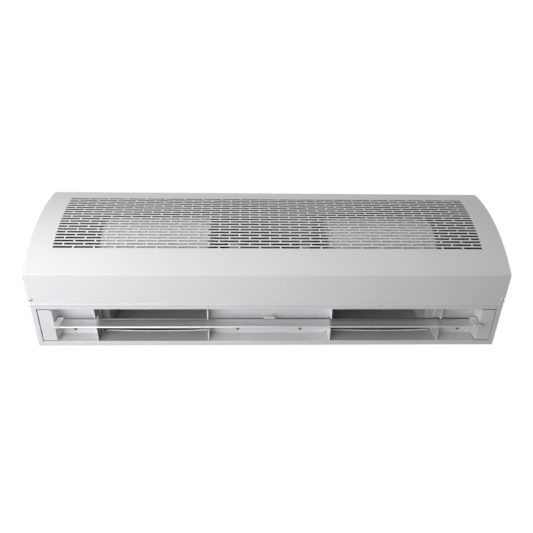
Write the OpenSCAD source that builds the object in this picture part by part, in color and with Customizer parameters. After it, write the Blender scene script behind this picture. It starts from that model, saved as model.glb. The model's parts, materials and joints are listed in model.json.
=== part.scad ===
// Wall-mounted air curtain with two centrifugal blowers and a slotted bow front.
// X runs along the length, -Y faces the room, +Z is up. The origin is the centre
// of the wall-fixing holes, on the face that lies against the wall.

/* [Casing] */
// Length of the unit
body_length = 900; // [880:10:1200]
// Depth from the rear panel to the front of the top edge
body_depth = 238; // [238:1:250]
// Height of the casing
body_height = 220; // [220:1:235]
// Depth of the flat underside, from the rear panel to the front crease
underside_depth = 158; // [158:1:162]
// Sheet thickness of the casing and its panels
casing_sheet = 1.2; // [1:0.1:1.5]
// Outside radius of the folds of the front casing
fold_radius = 3; // [3:0.5:5]
// Depth of the top return of the front casing
top_return = 22; // [18:1:30]
// Width of the flanges turned in on the end panels
end_flange = 14; // [12:1:18]

/* [Grille] */
// Length of one slot
slot_length = 36; // [30:1:40]
// Height of one slot
slot_height = 4; // [3:0.5:5]
// Metal left between two slots of a row
slot_web = 2.8; // [2:0.2:6]
// Distance between the rows, along the bow
row_pitch = 7.25; // [6.5:0.25:9]
// Distance along the bow from the crease to the first row
grille_start = 58; // [50:1:70]
// Plain metal above the last row, along the bow
grille_top = 33; // [30:1:50]
// Plain metal at each end of the rows
grille_end = 43.5; // [40:0.5:60]

/* [Outlet] */
// Depth of the front casing's flat band under the unit
band_depth = 60; // [56:1:62]
// Width of the outlet frame in front of the opening
frame_front = 14.5; // [10:0.5:16]
// Width of the outlet frame behind the opening
frame_rear = 9.4; // [9:0.1:11]
// Width of the outlet frame at each end
frame_end = 9; // [8:0.5:12]
// Distance that the outlet frame stands in from the casing's ends
frame_inset = 1; // [0.5:0.5:2]
// Depth of the outlet recess
tray_depth = 29; // [28:1:34]
// Sheet thickness of the outlet tray
tray_sheet = 1.2; // [1:0.1:1.5]
// Height that the tray's walls stand into the blowers
tray_lip = 7; // [5:1:8]
// Height of the tray's rear wall above its base, beside the blowers' sides
rear_lip = 9; // [8:0.5:10]
// Dip of the rear wall's edge, half way along each blower
rear_lip_bow = 3.5; // [0.5:0.5:4]
// Width of the flat face of each end bracket
bracket_width = 26.5; // [24:0.5:34]

/* [Vane] */
// Distance from the rear panel to the vane's pivot
vane_setback = 52; // [50:1:58]
// Height of the vane's pivot above the frame's face
vane_pivot_height = 14; // [13:1:16]
// Distance from the pivot to the vane's outer edge
vane_reach = 28.5; // [24:0.5:32]
// Thickness of the vane's web
vane_sheet = 2; // [1.6:0.2:2.6]
// Diameter of the bead along the vane's pivot
vane_bead = 5; // [4:0.5:6]
// Length of the caps on the vane's ends
vane_cap_length = 13.5; // [11:0.5:18]
// Diameter of the pivot pins
vane_pin = 5; // [4:0.5:5]
// Tilt towards the room, degrees
vane_tilt_front = 22; // [10:1:24]
// Tilt towards the wall, degrees
vane_tilt_rear = 40; // [10:1:42]

/* [Blowers] */
// Clear width between each blower's outlet and the casing's end
end_bay = 115.5; // [110:0.1:130]
// Clear width between the two blower housings
motor_bay = 237; // [230:1:260]
// Distance that a housing's outer side stands in from the outer end of its outlet
housing_inset = 13.5; // [6:0.5:16]
// Outside radius of the impellers
impeller_radius = 66; // [60:1:66]
// Radial length of the impeller blades
blade_depth = 11; // [9:1:14]
// Number of blades round one impeller
blade_count = 36; // [24:1:44]
// Distance from a blower's side to its impeller
impeller_inset = 18.65; // [18:0.05:40]
// Gap between the impeller and the tongue of the housing
tongue_gap = 9; // [8:0.5:9]
// Angle of the tongue below the horizontal, degrees
tongue_angle = 58.5; // [56:0.5:62]
// Growth of the spiral, millimetres for each degree
spiral_growth = 0.12; // [0.1:0.005:0.12]
// Sheet thickness of the blower housings
blower_sheet = 1; // [0.8:0.1:1.2]
// Sheet thickness of the blowers' side plates
side_sheet = 1.5; // [1:0.1:1.6]
// Height of the side plates' rim above the spiral sheet
blower_rim = 2; // [1:0.5:2]

/* [Motor] */
// Outside radius of the motor
motor_radius = 46; // [40:1:50]
// Length of the motor's shell
motor_length = 100; // [80:2:110]
// Diameter of the shaft
shaft_diameter = 12; // [10:1:15]
// Radius of the bearing bosses on the end shields
boss_radius = 16; // [15:0.5:18]
// Length of the bearing bosses
boss_length = 15; // [12:1:18]
// Radial thickness of the rubber mounting rings
ring_thickness = 8; // [6:1:10]
// Width of the motor brackets' front and foot flanges
bracket_flange = 20; // [16:1:24]
// Sheet thickness of the motor brackets
bracket_sheet = 2; // [1.5:0.5:3]

/* [Wall plate] */
// Length of the wall plate
wall_plate_length = 640; // [560:10:800]
// Height of the wall plate
wall_plate_height = 90; // [80:5:110]
// Sheet thickness of the wall plate
wall_plate_sheet = 2; // [1.5:0.5:3]
// Distance between the wall holes along the length
wall_hole_spacing_x = 560; // [480:10:620]
// Distance between the wall holes in height
wall_hole_spacing_z = 60; // [40:5:70]
// Diameter of the wall holes
wall_hole = 8; // [6:0.5:10]
// Height of the centre of the wall holes above the underside
mount_height = 145; // [140:1:150]
// Width of each hanging hook
hook_width = 40; // [30:5:60]
// Distance of the hooks from the middle
hook_offset = 200; // [150:10:240]

/* [Hidden] */

// Clearances
seam_gap = 0.3;
running_gap = 0.05;
fixed_gap = 0.02;
slip_gap = 0.1;

fine = 96;
bow_facets = 360;
sheet_facets = 6;

// Bow front: one arc, upright at the top edge, down to the crease
half_length = body_length / 2;
arc_drop = body_depth - underside_depth;
arc_radius = (body_height * body_height + arc_drop * arc_drop) / (2 * arc_drop);
arc_y = arc_radius - body_depth;
arc_z = body_height;
crease_angle = asin(body_height / arc_radius);
arc_length = arc_radius * crease_angle * PI / 180;
fold_reach = arc_radius - fold_radius;
low_fold = [arc_y - sqrt(pow(fold_reach, 2) - pow(body_height - fold_radius, 2)), fold_radius];
top_fold = [arc_y - sqrt(pow(fold_reach, 2) - pow(fold_radius, 2)), body_height - fold_radius];
panel_inset = casing_sheet + seam_gap;
sharp_fold = 0.05;
top_panel_z = body_height - 2 * casing_sheet;
panel_end = half_length - casing_sheet - seam_gap;

// Grille
slot_pitch = slot_length + slot_web;
slot_columns = floor((body_length - 2 * grille_end + slot_web) / slot_pitch);
slot_rows = floor((arc_length - grille_start - grille_top) / row_pitch) + 1;
grille_width = slot_columns * slot_pitch - slot_web;
short_slot = (slot_length - slot_web) / 2;
slot_cut = 5;

// Outlet opening and tray
band_rear = -(underside_depth - band_depth);
frame_gap = 0.5;
open_front = band_rear + frame_gap + frame_front;
open_rear = -frame_rear;
frame_half = half_length - frame_inset;
open_end = frame_half - frame_end;
tray_top = tray_depth + tray_sheet;
tray_fold = 1.5;
bead_setback = 4.5;
bead_rise = 0.8;
bead_radius = 6;
bracket_gap = 2;
bracket_outer = open_end - bracket_gap;
bracket_inner = bracket_outer - bracket_width;
bracket_front = open_front + 1;
bracket_rear = open_rear - 3;
bracket_top_flange = 16;

// Vane
vane_y = -vane_setback;
vane_z = vane_pivot_height;
cap_end = bracket_inner - 1;
cap_start = cap_end - vane_cap_length;
cap_grip = vane_cap_length / 2;
cap_thickness = 5.4;
cap_top = 4;
vane_edge = 3;
bush_radius = 4.4;
bush_length = 6;
bush_flange = 2;
window_front = vane_y - 1;
window_rear = vane_y + 13;
window_low = vane_z - 10.8;
window_top = vane_z + 12.5;
window_corner = 5;
pin_length = 8;
hanger_half = 11;
hanger_radius = 4.6;
hanger_peg = 3.4;
hanger_stem = 4.6;
hanger_foot = 9;
hanger_y = vane_y + 3;
notch_front = 8.5;
notch_rear = 16;
notch_top = 5;

// Blowers
bay_inner = motor_bay / 2;
bay_outer = half_length - end_bay;
bay_middle = (bay_inner + bay_outer) / 2;
housing_outer = bay_outer - housing_inset;
housing_middle = (bay_inner + housing_outer) / 2;
impeller_width = housing_outer - bay_inner - 2 * impeller_inset;
spiral_start = impeller_radius + tongue_gap + blower_sheet;
spiral_sweep = 360 - tongue_angle;
spiral_end = spiral_start + spiral_growth * spiral_sweep;
spiral_low = spiral_start + spiral_growth * (90 - tongue_angle);
spiral_gap = 2;
axis_y = open_rear - spiral_end;
axis_z = tray_top + spiral_gap + spiral_low;
spiral_steps = 60;
tongue_join = 1.8;
throat_z = tray_depth + tray_lip + seam_gap;
scroll_slit = 5;
scroll_rear_z = tray_depth + rear_lip + scroll_slit;
lip_bow_radius = (pow(bay_outer - bay_middle, 2) + pow(rear_lip_bow, 2)) / (2 * rear_lip_bow);
relief_hole = 1.4;
collar_z = 0.8;
joggle_z = spiral_point(0, 0)[1] + seam_gap;
inlet_hole = impeller_radius - 5;
inlet_lip = 1.5;
inlet_flange = 9;
inlet_reach = impeller_inset + 2;
inlet_throat = impeller_radius - blade_depth - 1;
impeller_ring = 2;
impeller_disc = 1.5;
impeller_ring_depth = 8;
blade_sheet = 0.8;
blade_lean = 34;
foot_depth = 24;
foot_sheet = 1.5;
hub_radius = 14;
hub_flange = 22;
hub_length = 24;
hub_flange_sheet = 3;
hub_screw_radius = 2.5;
shaft_overrun = 16;

// Motor
shaft_radius = shaft_diameter / 2;
shell_sheet = 2;
winding_room = 25;
winding_length = 15.5;
winding_gap = 3;
stator_depth = 20;
core_half = motor_length / 2 - winding_room;
air_gap = 0.6;
rotor_radius = motor_radius - stator_depth;
shield_thickness = 7;
shield_face = motor_length / 2;
boss_end = shield_face + shield_thickness + boss_length;
bearing_radius = shaft_radius + 5;
bracket_x = shield_face + shield_thickness + 3;
ring_radius = boss_radius + ring_thickness;
strap_sheet = 2;
strap_ear = 14;
strap_end = bracket_x + boss_length - 5;
strap_middle = (bracket_x + bracket_sheet + strap_end) / 2;
bracket_half_depth = ring_radius + strap_sheet + strap_ear;
bracket_front_y = axis_y - motor_radius - 1;
collar_length = 8;
collar_radius = shaft_radius + 5;

// Terminal box in front of the motor, hung from the top panel
box_left = 6;
box_width = 82;
box_height = 110;
box_depth = 24;
box_sheet = 1;
box_rear = axis_y - motor_radius - 4;
box_top = top_panel_z;
cover_sheet = 1;

// Capacitor on the rear panel
capacitor_radius = 17;
capacitor_length = 56;
capacitor_x = -90;
clip_sheet = 1;
clip_ear = 10;
capacitor_z = top_panel_z - capacitor_radius - clip_ear - 8.6;

// Cable grommet in the top panel
grommet_x = box_left + box_width / 2;
grommet_setback = 20;
grommet_y = axis_y + grommet_setback;
grommet_bore = 4.5;
grommet_body = 8;
grommet_flange = 11;

// Screws
screw_head = 3.6;
screw_head_height = 2.2;
screw_shank = 1.9;
screw_hole = 2.1;
screw_reach = 8;
casing_screw_end = 4.5;
casing_screw_back = 7.5;
top_screw_count = 4;
top_screw_end = 37;
tray_screw_y = -19.6;
tray_screw_gap = 50.5;
tray_screw_outer = bay_outer + tray_screw_gap;
tray_screw_inner = bracket_x + 3;

// Hooks of the wall plate
hook_sheet = 2;
hook_lip = 10;
hook_z = mount_height + 5;
hook_play = 2;
hook_slot_height = hook_sheet + hook_lip + hook_play;

// ---------- helpers ----------

// Moves the unit from its underside and rear panel to the wall-fixing point
module unit() {
    translate([0, -wall_plate_sheet, -mount_height]) children();
}

// Extrudes a side view, drawn as (Y, Z), along X
module along_x(start, length) {
    translate([start, 0, 0]) rotate([90, 0, 90]) linear_extrude(length) children();
}

// Extrudes a front view, drawn as (X, Z), along Y
module along_y(start, length) {
    translate([0, start + length, 0]) rotate([90, 0, 0]) linear_extrude(length) children();
}

module block(low, high) {
    translate(low) cube(high - low);
}

module on_side(side) {
    if (side < 0) {
        mirror([1, 0, 0]) children();
    } else {
        children();
    }
}

// Cylinder on the shaft's axis
module axial(radius, start, end) {
    translate([start, axis_y, axis_z]) rotate([0, 90, 0])
        cylinder(r = radius, h = end - start, $fn = fine);
}

module axial_ring(outer, inner, start, end) {
    difference() {
        axial(outer, start, end);
        axial(inner, start - 1, end + 1);
    }
}

// Rod with round ends between two points
module rod(from, to, radius) {
    reach = to - from;
    length = norm(reach);
    translate(from) rotate([0, acos(reach[2] / length), atan2(reach[1], reach[0])])
        cylinder(r = radius, h = length, $fn = 24);
}

// Pan-head screw with a cross recess; its head's top faces +Z
module pan_screw(length) {
    dome = (pow(screw_head, 2) + pow(screw_head_height, 2)) / (2 * screw_head_height);
    difference() {
        union() {
            intersection() {
                translate([0, 0, screw_head_height - dome]) sphere(r = dome, $fn = fine);
                cylinder(r = screw_head, h = screw_head_height, $fn = fine);
            }
            translate([0, 0, -length]) cylinder(r = screw_shank, h = length + 0.5, $fn = 32);
        }
        for (turn = [0, 90]) {
            rotate([0, 0, turn]) translate([-2, -0.4, 1]) cube([4, 0.8, screw_head_height]);
        }
    }
}

// Points of a fold: an arc from one direction to another round a centre
function fold_points(centre, radius, from, to, steps) =
    [for (i = [0:steps]) let (a = from + (to - from) * i / steps)
        centre + radius * [cos(a), sin(a)]];

// ---------- casing ----------

// Cuts the corner outside a fold away, then fills the fold's own round back in
module fold_corner(centre, across, along) {
    reach = 3 * fold_radius;
    polygon([centre, centre + reach * across, centre + 1.5 * reach * (across + along),
        centre + reach * along]);
}

// Area inside the casing's skin, inset from its outer face
module casing_area(inset) {
    low_across = (low_fold - [arc_y, arc_z]) / fold_reach;
    top_across = (top_fold - [arc_y, arc_z]) / fold_reach;
    difference() {
        intersection() {
            translate([arc_y, arc_z]) circle(r = arc_radius - inset, $fn = bow_facets);
            translate([-body_depth - 1, inset])
                square([body_depth + 1, body_height - 2 * inset]);
        }
        fold_corner(low_fold, low_across, [0, -1]);
        fold_corner(top_fold, top_across, [0, 1]);
    }
    translate(low_fold) circle(r = max(fold_radius - inset, sharp_fold), $fn = fine);
    translate(top_fold) circle(r = max(fold_radius - inset, sharp_fold), $fn = fine);
}

module casing_profile() {
    difference() {
        casing_area(0);
        casing_area(casing_sheet);
        translate([band_rear, -1]) square([body_depth, 1 + 2 * casing_sheet]);
        translate([-body_depth + top_return, body_height - 2 * casing_sheet])
            square([body_depth, 1 + 2 * casing_sheet]);
    }
}

module slot_row(shifted) {
    for (i = [0:slot_columns - 1 + shifted]) {
        short = shifted == 1 && (i == 0 || i == slot_columns);
        length = short ? short_slot : slot_length;
        start = i * slot_pitch - (shifted == 1 && i > 0 ? slot_pitch / 2 : 0);
        translate([start - grille_width / 2, -slot_cut, -slot_height / 2])
            cube([length, 2 * slot_cut, slot_height]);
    }
}

module grille_slots() {
    for (row = [0:slot_rows - 1]) {
        angle = crease_angle - (grille_start + row * row_pitch) / arc_radius * 180 / PI;
        translate([0, arc_y, arc_z]) rotate([angle, 0, 0]) translate([0, -arc_radius, 0])
            slot_row(row % 2);
    }
}

// Places of the screws that hold the casing's band and its top return
function band_screws() =
    [for (side = [-1, 1]) [side * (half_length - casing_screw_end), band_rear - casing_screw_back]];
function top_screws() =
    [for (i = [0:top_screw_count - 1])
        [(2 * i / (top_screw_count - 1) - 1) * (half_length - top_screw_end),
            -body_depth + top_return - casing_screw_back]];

module front_casing() {
    color("white") unit() difference() {
        along_x(-half_length, body_length) casing_profile();
        grille_slots();
        for (place = band_screws()) {
            translate([place[0], place[1], -1]) cylinder(r = screw_hole, h = 4, $fn = 32);
        }
        for (place = top_screws()) {
            translate([place[0], place[1], body_height - 3]) cylinder(r = screw_hole, h = 4, $fn = 32);
        }
    }
}

module top_panel() {
    color("white") unit() difference() {
        block([-panel_end, -body_depth + fold_radius + casing_sheet, top_panel_z],
            [panel_end, 0, top_panel_z + casing_sheet]);
        for (place = top_screws()) {
            translate([place[0], place[1], top_panel_z - 1]) cylinder(r = screw_hole, h = 4, $fn = 32);
        }
        translate([grommet_x, grommet_y, top_panel_z - 1])
            cylinder(r = grommet_body, h = 4, $fn = fine);
    }
}

module rear_panel() {
    color("gainsboro") unit() difference() {
        block([-panel_end, -casing_sheet, tray_sheet + seam_gap], [panel_end, 0, top_panel_z]);
        for (side = [-1, 1]) {
            translate([side * hook_offset, 0, 0])
                block([-hook_width / 2 - hook_play, -casing_sheet - 1, hook_z - hook_slot_height],
                    [hook_width / 2 + hook_play, 1, hook_z]);
        }
    }
}

// End panel: a flat plate with a flange turned in along the bow and the back
module end_panel(side) {
    color("white") unit() on_side(side) difference() {
        union() {
            along_x(half_length - casing_sheet, casing_sheet) casing_area(panel_inset);
            along_x(half_length - casing_sheet - end_flange, end_flange + casing_sheet / 2)
                end_flange_profile();
        }
        for (place = band_screws()) {
            if (place[0] > 0) {
                translate([place[0], place[1], 0])
                    cylinder(r = screw_hole, h = 6, $fn = 32);
            }
        }
    }
}

module end_flange_profile() {
    intersection() {
        difference() {
            casing_area(panel_inset);
            casing_area(panel_inset + casing_sheet);
        }
        translate([-body_depth, -1])
            square([band_rear - 2 + body_depth, top_panel_z - 14]);
    }
    foot_room = 8;
    head_room = 12;
    translate([-2 * casing_sheet, tray_top + foot_room])
        square([casing_sheet, top_panel_z - tray_top - foot_room - head_room]);
}

// ---------- outlet ----------

// Sheet along a path of points, as thick as sheet, to the left of the path
function unit_normal(a, b) = let (v = b - a) [-v[1], v[0]] / norm(v);
function side_point(path, i, distance) =
    let (last = len(path) - 1,
        n1 = unit_normal(path[max(i - 1, 0)], path[max(i, 1)]),
        n2 = unit_normal(path[min(i, last - 1)], path[min(i + 1, last)]),
        middle = n1 + n2)
    path[i] + middle * 2 * distance / (middle * middle);

module sheet_profile(path, sheet) {
    last = len(path) - 1;
    polygon(concat(path, [for (i = [last:-1:0]) side_point(path, i, sheet)]));
}

// Section of the tray: front strip and wall, base, rear wall and strip
module tray_section() {
    front_edge = band_rear + frame_gap;
    sheet_profile(concat(
        [[front_edge, 4]],
        fold_points([front_edge + tray_fold, tray_fold], tray_fold, 180, 270, sheet_facets),
        [[open_front - tray_fold - tray_sheet, 0]],
        fold_points([open_front - tray_fold, tray_fold], tray_fold, 270, 360, sheet_facets),
        [[open_front, tray_depth + tray_lip]]), tray_sheet);
    sheet_profile(concat(
        [[open_rear, tray_depth + rear_lip]],
        fold_points([open_rear + tray_fold, tray_fold], tray_fold, 180, 270, sheet_facets),
        [[-casing_sheet, 0], [0, 0]]), tray_sheet);
    translate([open_front - tray_sheet / 2, tray_depth])
        square([open_rear - open_front + tray_sheet, tray_sheet]);
    intersection() {
        translate([front_edge + bead_setback, bead_radius - bead_rise])
            circle(r = bead_radius, $fn = fine);
        translate([front_edge + 0.5, -2 * bead_rise]) square([frame_front, 2 * bead_rise + 0.3]);
    }
}

module tray_ends() {
    for (side = [-1, 1]) {
        on_side(side) {
            block([open_end, band_rear + frame_gap + tray_fold, 0], [frame_half, 0, tray_sheet]);
            block([open_end, open_front - tray_sheet / 2, 0],
                [open_end + tray_sheet, open_rear + tray_sheet / 2, tray_top]);
        }
    }
}

// Lips that stand up into a blower, just inside its side plates
module blower_lips() {
    inset = side_sheet + seam_gap;
    for (x = [bay_inner + inset, bay_outer - inset - tray_sheet]) {
        block([x, open_front - tray_sheet / 2, tray_depth],
            [x + tray_sheet, open_rear + tray_sheet / 2, tray_depth + tray_lip]);
    }
}

module outlet_tray() {
    wall_top = scroll_rear_z;
    color("whitesmoke") unit() difference() {
        union() {
            difference() {
                along_x(-frame_half, 2 * frame_half) tray_section();
                for (side = [-1, 1]) {
                    on_side(side) {
                        // only the flat frame runs on past the recess's end walls
                        block([open_end + tray_sheet / 2, band_rear + frame_gap - 1, tray_sheet],
                            [half_length, 1, wall_top]);
                        block([open_end + tray_sheet / 2, open_front - tray_fold, -1],
                            [half_length, open_rear + tray_fold, wall_top]);
                        // walls stop at the base beyond the blowers
                        block([bay_outer, open_front - 9, tray_top], [half_length, 0, wall_top]);
                        block([bay_inner - seam_gap, open_front, tray_depth - 1],
                            [bay_outer + seam_gap, open_rear, wall_top]);
                        translate([bay_middle, open_rear - 1, tray_depth + rear_lip
                            - rear_lip_bow + lip_bow_radius]) rotate([-90, 0, 0])
                            cylinder(r = lip_bow_radius, h = tray_sheet + 2, $fn = bow_facets);
                    }
                }
                block([-bay_inner, open_front - 9, tray_top], [bay_inner, 0, wall_top]);
            }
            tray_ends();
            for (side = [-1, 1]) {
                on_side(side) blower_lips();
            }
        }
        // relief holes in the bends beside the blowers
        for (x = [-bay_outer - 3, -bay_inner + 3, bay_inner - 3, bay_outer + 3]) {
            translate([x, open_rear - relief_hole / 2, tray_depth - 1])
                cylinder(r = relief_hole, h = 4, $fn = 32);
        }
        for (place = tray_screw_places()) {
            translate([place[0], place[1], tray_depth - 1])
                cylinder(r = screw_hole, h = 4, $fn = 32);
        }
        translate([0, hanger_y, tray_depth - 1])
            cylinder(r = hanger_peg / 2 + slip_gap, h = 4, $fn = 32);
    }
}

// Bracket that closes each end of the recess and carries the vane
module end_bracket(side) {
    color("whitesmoke") unit() on_side(side) difference() {
        along_y(bracket_front, bracket_rear - bracket_front) sheet_profile(concat(
            [[bracket_outer, 0]],
            [for (p = fold_points([-bracket_inner - tray_fold, tray_fold], tray_fold, 270, 360,
                sheet_facets)) [-p[0], p[1]]],
            [[bracket_inner, tray_depth - seam_gap],
                [bracket_inner + bracket_top_flange, tray_depth - seam_gap]]), -tray_sheet);
        along_x(bracket_inner - 2, 6) bush_outline(slip_gap);
        translate([bracket_inner + tray_sheet + relief_hole, bracket_front + 2.5, -1])
            cylinder(r = relief_hole, h = 2 * tray_sheet, $fn = 32);
    }
}

// Side view of the bush: a round boss on an upright window with round corners
module bush_outline(margin) {
    low = [window_front - margin, window_low - margin];
    high = [window_rear + margin, window_top + margin];
    corner = window_corner;
    translate([vane_y, vane_z]) circle(r = bush_radius + margin, $fn = fine);
    translate([low[0], low[1] + corner]) square([high[0] - low[0], high[1] - low[1] - 2 * corner]);
    translate([low[0] + corner, low[1]]) square([high[0] - low[0] - 2 * corner, high[1] - low[1]]);
    for (y = [low[0] + corner, high[0] - corner], z = [low[1] + corner, high[1] - corner]) {
        translate([y, z]) circle(r = corner, $fn = fine);
    }
}

// Bush that sits flush in the bracket's wall, with a flange and a boss behind it
module vane_bush(side) {
    color("black") unit() on_side(side) difference() {
        union() {
            along_x(bracket_inner, tray_sheet) bush_outline(0);
            along_x(bracket_inner + tray_sheet, bush_flange) intersection() {
                bush_outline(bush_flange);
                translate([-body_depth, tray_fold + 2 * seam_gap])
                    square([body_depth, tray_depth - tray_sheet - tray_fold - 4 * seam_gap]);
            }
            translate([bracket_inner, vane_y, vane_z]) rotate([0, 90, 0])
                cylinder(r = bush_radius, h = bush_length, $fn = fine);
        }
        translate([bracket_inner - 1, vane_y, vane_z]) rotate([0, 90, 0])
            cylinder(r = vane_pin / 2 + running_gap, h = bush_length + 2, $fn = fine);
    }
}

// ---------- vane ----------

// Section of the vane as (Y, Z) about its pivot: a bead, a web and a thicker outer edge
module vane_section() {
    circle(d = vane_bead, $fn = fine);
    translate([-vane_sheet / 2, -vane_reach + vane_edge / 2])
        square([vane_sheet, vane_reach - vane_edge / 2]);
    translate([0, -vane_reach + vane_edge / 2]) circle(d = vane_edge, $fn = fine);
}

module vane_blade() {
    color("gainsboro") unit() translate([0, vane_y, vane_z])
        along_x(-cap_start - cap_grip, 2 * (cap_start + cap_grip)) vane_section();
}

module vane_cap(side) {
    grip = vane_edge / 2 + slip_gap;
    color("cornsilk") unit() on_side(side) translate([0, vane_y, vane_z]) {
        difference() {
            along_x(cap_start, vane_cap_length) union() {
                circle(r = cap_top, $fn = fine);
                translate([-cap_thickness / 2, -vane_reach + cap_thickness / 2 - 1])
                    square([cap_thickness, vane_reach - cap_thickness / 2 + 1]);
                translate([0, -vane_reach + cap_thickness / 2 - 1])
                    circle(d = cap_thickness, $fn = fine);
            }
            along_x(cap_start - 1, cap_grip + 1 + slip_gap) union() {
                circle(d = vane_bead + 2 * slip_gap, $fn = fine);
                translate([-grip, -vane_reach - slip_gap])
                    square([2 * grip, vane_reach + slip_gap]);
            }
        }
        translate([cap_end - 0.5, 0, 0]) rotate([0, 90, 0])
            cylinder(d = vane_pin, h = pin_length, $fn = fine);
    }
}

// Hanger that snaps over the bead in the middle of the vane
module vane_hanger() {
    bore = vane_bead / 2 + running_gap;
    foot = 3;
    front = 0.5;
    mouth = 28;
    reach = 20;
    color("cornsilk") unit() {
        difference() {
            union() {
                along_x(-hanger_half, 2 * hanger_half) translate([vane_y, vane_z]) union() {
                    circle(r = hanger_radius, $fn = fine);
                    translate([front, 0]) square([hanger_stem, tray_depth - vane_z - foot / 2]);
                    translate([front, tray_depth - vane_z - foot]) square([hanger_foot, foot]);
                }
                translate([0, hanger_y, tray_depth - 1])
                    cylinder(r = hanger_peg / 2, h = tray_sheet + 4, $fn = 32);
            }
            along_x(-hanger_half - 1, 2 * hanger_half + 2) translate([vane_y, vane_z]) union() {
                circle(r = bore, $fn = fine);
                polygon([[0, 0],
                    reach * [-sin(vane_tilt_front + mouth), -cos(vane_tilt_front + mouth)],
                    [0, -1.5 * reach],
                    reach * [sin(vane_tilt_rear + mouth), -cos(vane_tilt_rear + mouth)]]);
            }
        }
    }
}

// ---------- blowers ----------

// Point of the spiral, swept angle degrees on from the tongue, offset outwards
function spiral_point(angle, offset) =
    [axis_y, axis_z] + (spiral_start + spiral_growth * angle + offset)
        * [cos(-tongue_angle - angle), sin(-tongue_angle - angle)];

function spiral_path(offset) =
    [for (i = [0:spiral_steps]) spiral_point(spiral_sweep * i / spiral_steps, offset)];

throat_front = open_front + seam_gap;
throat_rear = open_rear - seam_gap;

// Spiral sheet with its lead-in strip from the throat up to the tongue; both of its
// walls run out under the joggle of the outer side plate
module scroll(side) {
    outer = spiral_path(0);
    tongue = [[throat_front, throat_z], [throat_front + blower_sheet, throat_z], outer[0]];
    side_end = housing_outer - side_sheet;
    color("white") unit() on_side(side) {
        along_x(bay_inner + side_sheet, side_end - bay_inner - side_sheet)
            polygon(concat(tongue, spiral_path(-blower_sheet),
                [[open_rear - blower_sheet, scroll_rear_z], [open_rear, scroll_rear_z]],
                [for (i = [spiral_steps:-1:1]) outer[i]], [spiral_point(tongue_join, 0)]));
        along_x(side_end - 1, housing_inset + 1) {
            polygon(concat(tongue, [spiral_point(tongue_join, 0)]));
            translate([open_rear - blower_sheet, scroll_rear_z])
                square([blower_sheet, joggle_z - scroll_rear_z]);
        }
    }
}

// Side plate: the spiral's outline with a rim, and a collar down through the tray. The
// collar of an outer plate stands further out than its spiral, on a joggle over the throat
module side_plate(side, start, collar_start) {
    color("white") unit() on_side(side) difference() {
        union() {
            along_x(start, side_sheet) intersection() {
                polygon(concat(spiral_path(blower_rim), [[throat_rear, throat_z]],
                    [[throat_front, throat_z]]));
                union() {
                    translate([-body_depth, tray_top + seam_gap])
                        square([body_depth + throat_front, body_height]);
                    translate([-body_depth, joggle_z]) square([body_depth, body_height]);
                }
            }
            block([start, throat_front, joggle_z],
                [collar_start + side_sheet, throat_rear, joggle_z + side_sheet]);
            block([collar_start, throat_front, collar_z],
                [collar_start + side_sheet, throat_rear, joggle_z + side_sheet]);
        }
        axial(inlet_hole, start - 1, start + side_sheet + 1);
        along_x(collar_start - 1, side_sheet + 2)
            polygon([[vane_y - notch_front, collar_z - 1], [vane_y + notch_rear, collar_z - 1],
                [vane_y + notch_top, vane_z + notch_top], [vane_y - notch_top, vane_z + notch_top]]);
    }
}

module outer_plate(side) {
    side_plate(side, housing_outer - side_sheet, bay_outer - side_sheet);
}

module inner_plate(side) {
    side_plate(side, bay_inner, bay_inner);
}

// Bell-mouth ring in a side plate; it opens away from the impeller
module inlet_ring(side, plate_face, inwards) {
    outer = inlet_hole - slip_gap;
    curve = [for (i = [0:8]) let (a = 90 * i / 8)
        [inlet_throat + (outer - inlet_throat) * (1 - sin(a)), inlet_reach * (1 - cos(a))]];
    color("white") unit() on_side(side) translate([plate_face, axis_y, axis_z])
        rotate([0, inwards * 90, 0]) rotate_extrude($fn = fine)
            polygon(concat([[inlet_hole + inlet_flange, 0]], curve,
                [for (i = [8:-1:0]) curve[i] - [inlet_lip, 0]],
                [[outer - inlet_lip, -inlet_lip], [inlet_hole + inlet_flange, -inlet_lip]]));
}

// Angle that ties the outer side plate to the tray
module housing_foot(side) {
    start = bay_outer + seam_gap;
    rear = open_rear - 2;
    color("silver") unit() on_side(side) difference() {
        union() {
            block([bay_outer, rear - foot_depth, tray_top + seam_gap],
                [bay_outer + foot_sheet, rear, joggle_z + side_sheet]);
            block([start, rear - foot_depth, tray_top],
                [tray_screw_outer + 8, rear, tray_top + foot_sheet]);
        }
        translate([tray_screw_outer, tray_screw_y, tray_top - 1])
            cylinder(r = screw_hole, h = 4, $fn = 32);
    }
}

// Forward-curved blade as a thin bent strip, seen along the shaft
module blade() {
    inner = impeller_radius - blade_depth;
    steps = 4;
    mid = [for (i = [0:steps]) let (f = i / steps,
        r = inner + (blade_depth - 0.4) * f, a = -blade_lean * pow(f, 1.6) / 4)
        r * [cos(a), sin(a)]];
    sheet_profile(mid, blade_sheet);
}

module impeller(side) {
    start = housing_middle - impeller_width / 2;
    color("silver") unit() on_side(side) {
        axial_ring(impeller_radius, impeller_radius - impeller_ring_depth, start,
            start + impeller_ring);
        axial_ring(impeller_radius, impeller_radius - impeller_ring_depth,
            start + impeller_width - impeller_ring, start + impeller_width);
        axial_ring(impeller_radius, hub_radius + slip_gap, housing_middle - impeller_disc / 2,
            housing_middle + impeller_disc / 2);
        translate([start + impeller_ring / 2, axis_y, axis_z]) rotate([90, 0, 90])
            linear_extrude(impeller_width - impeller_ring)
                for (i = [0:blade_count - 1]) {
                    rotate(i * 360 / blade_count) blade();
                }
    }
}

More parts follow.
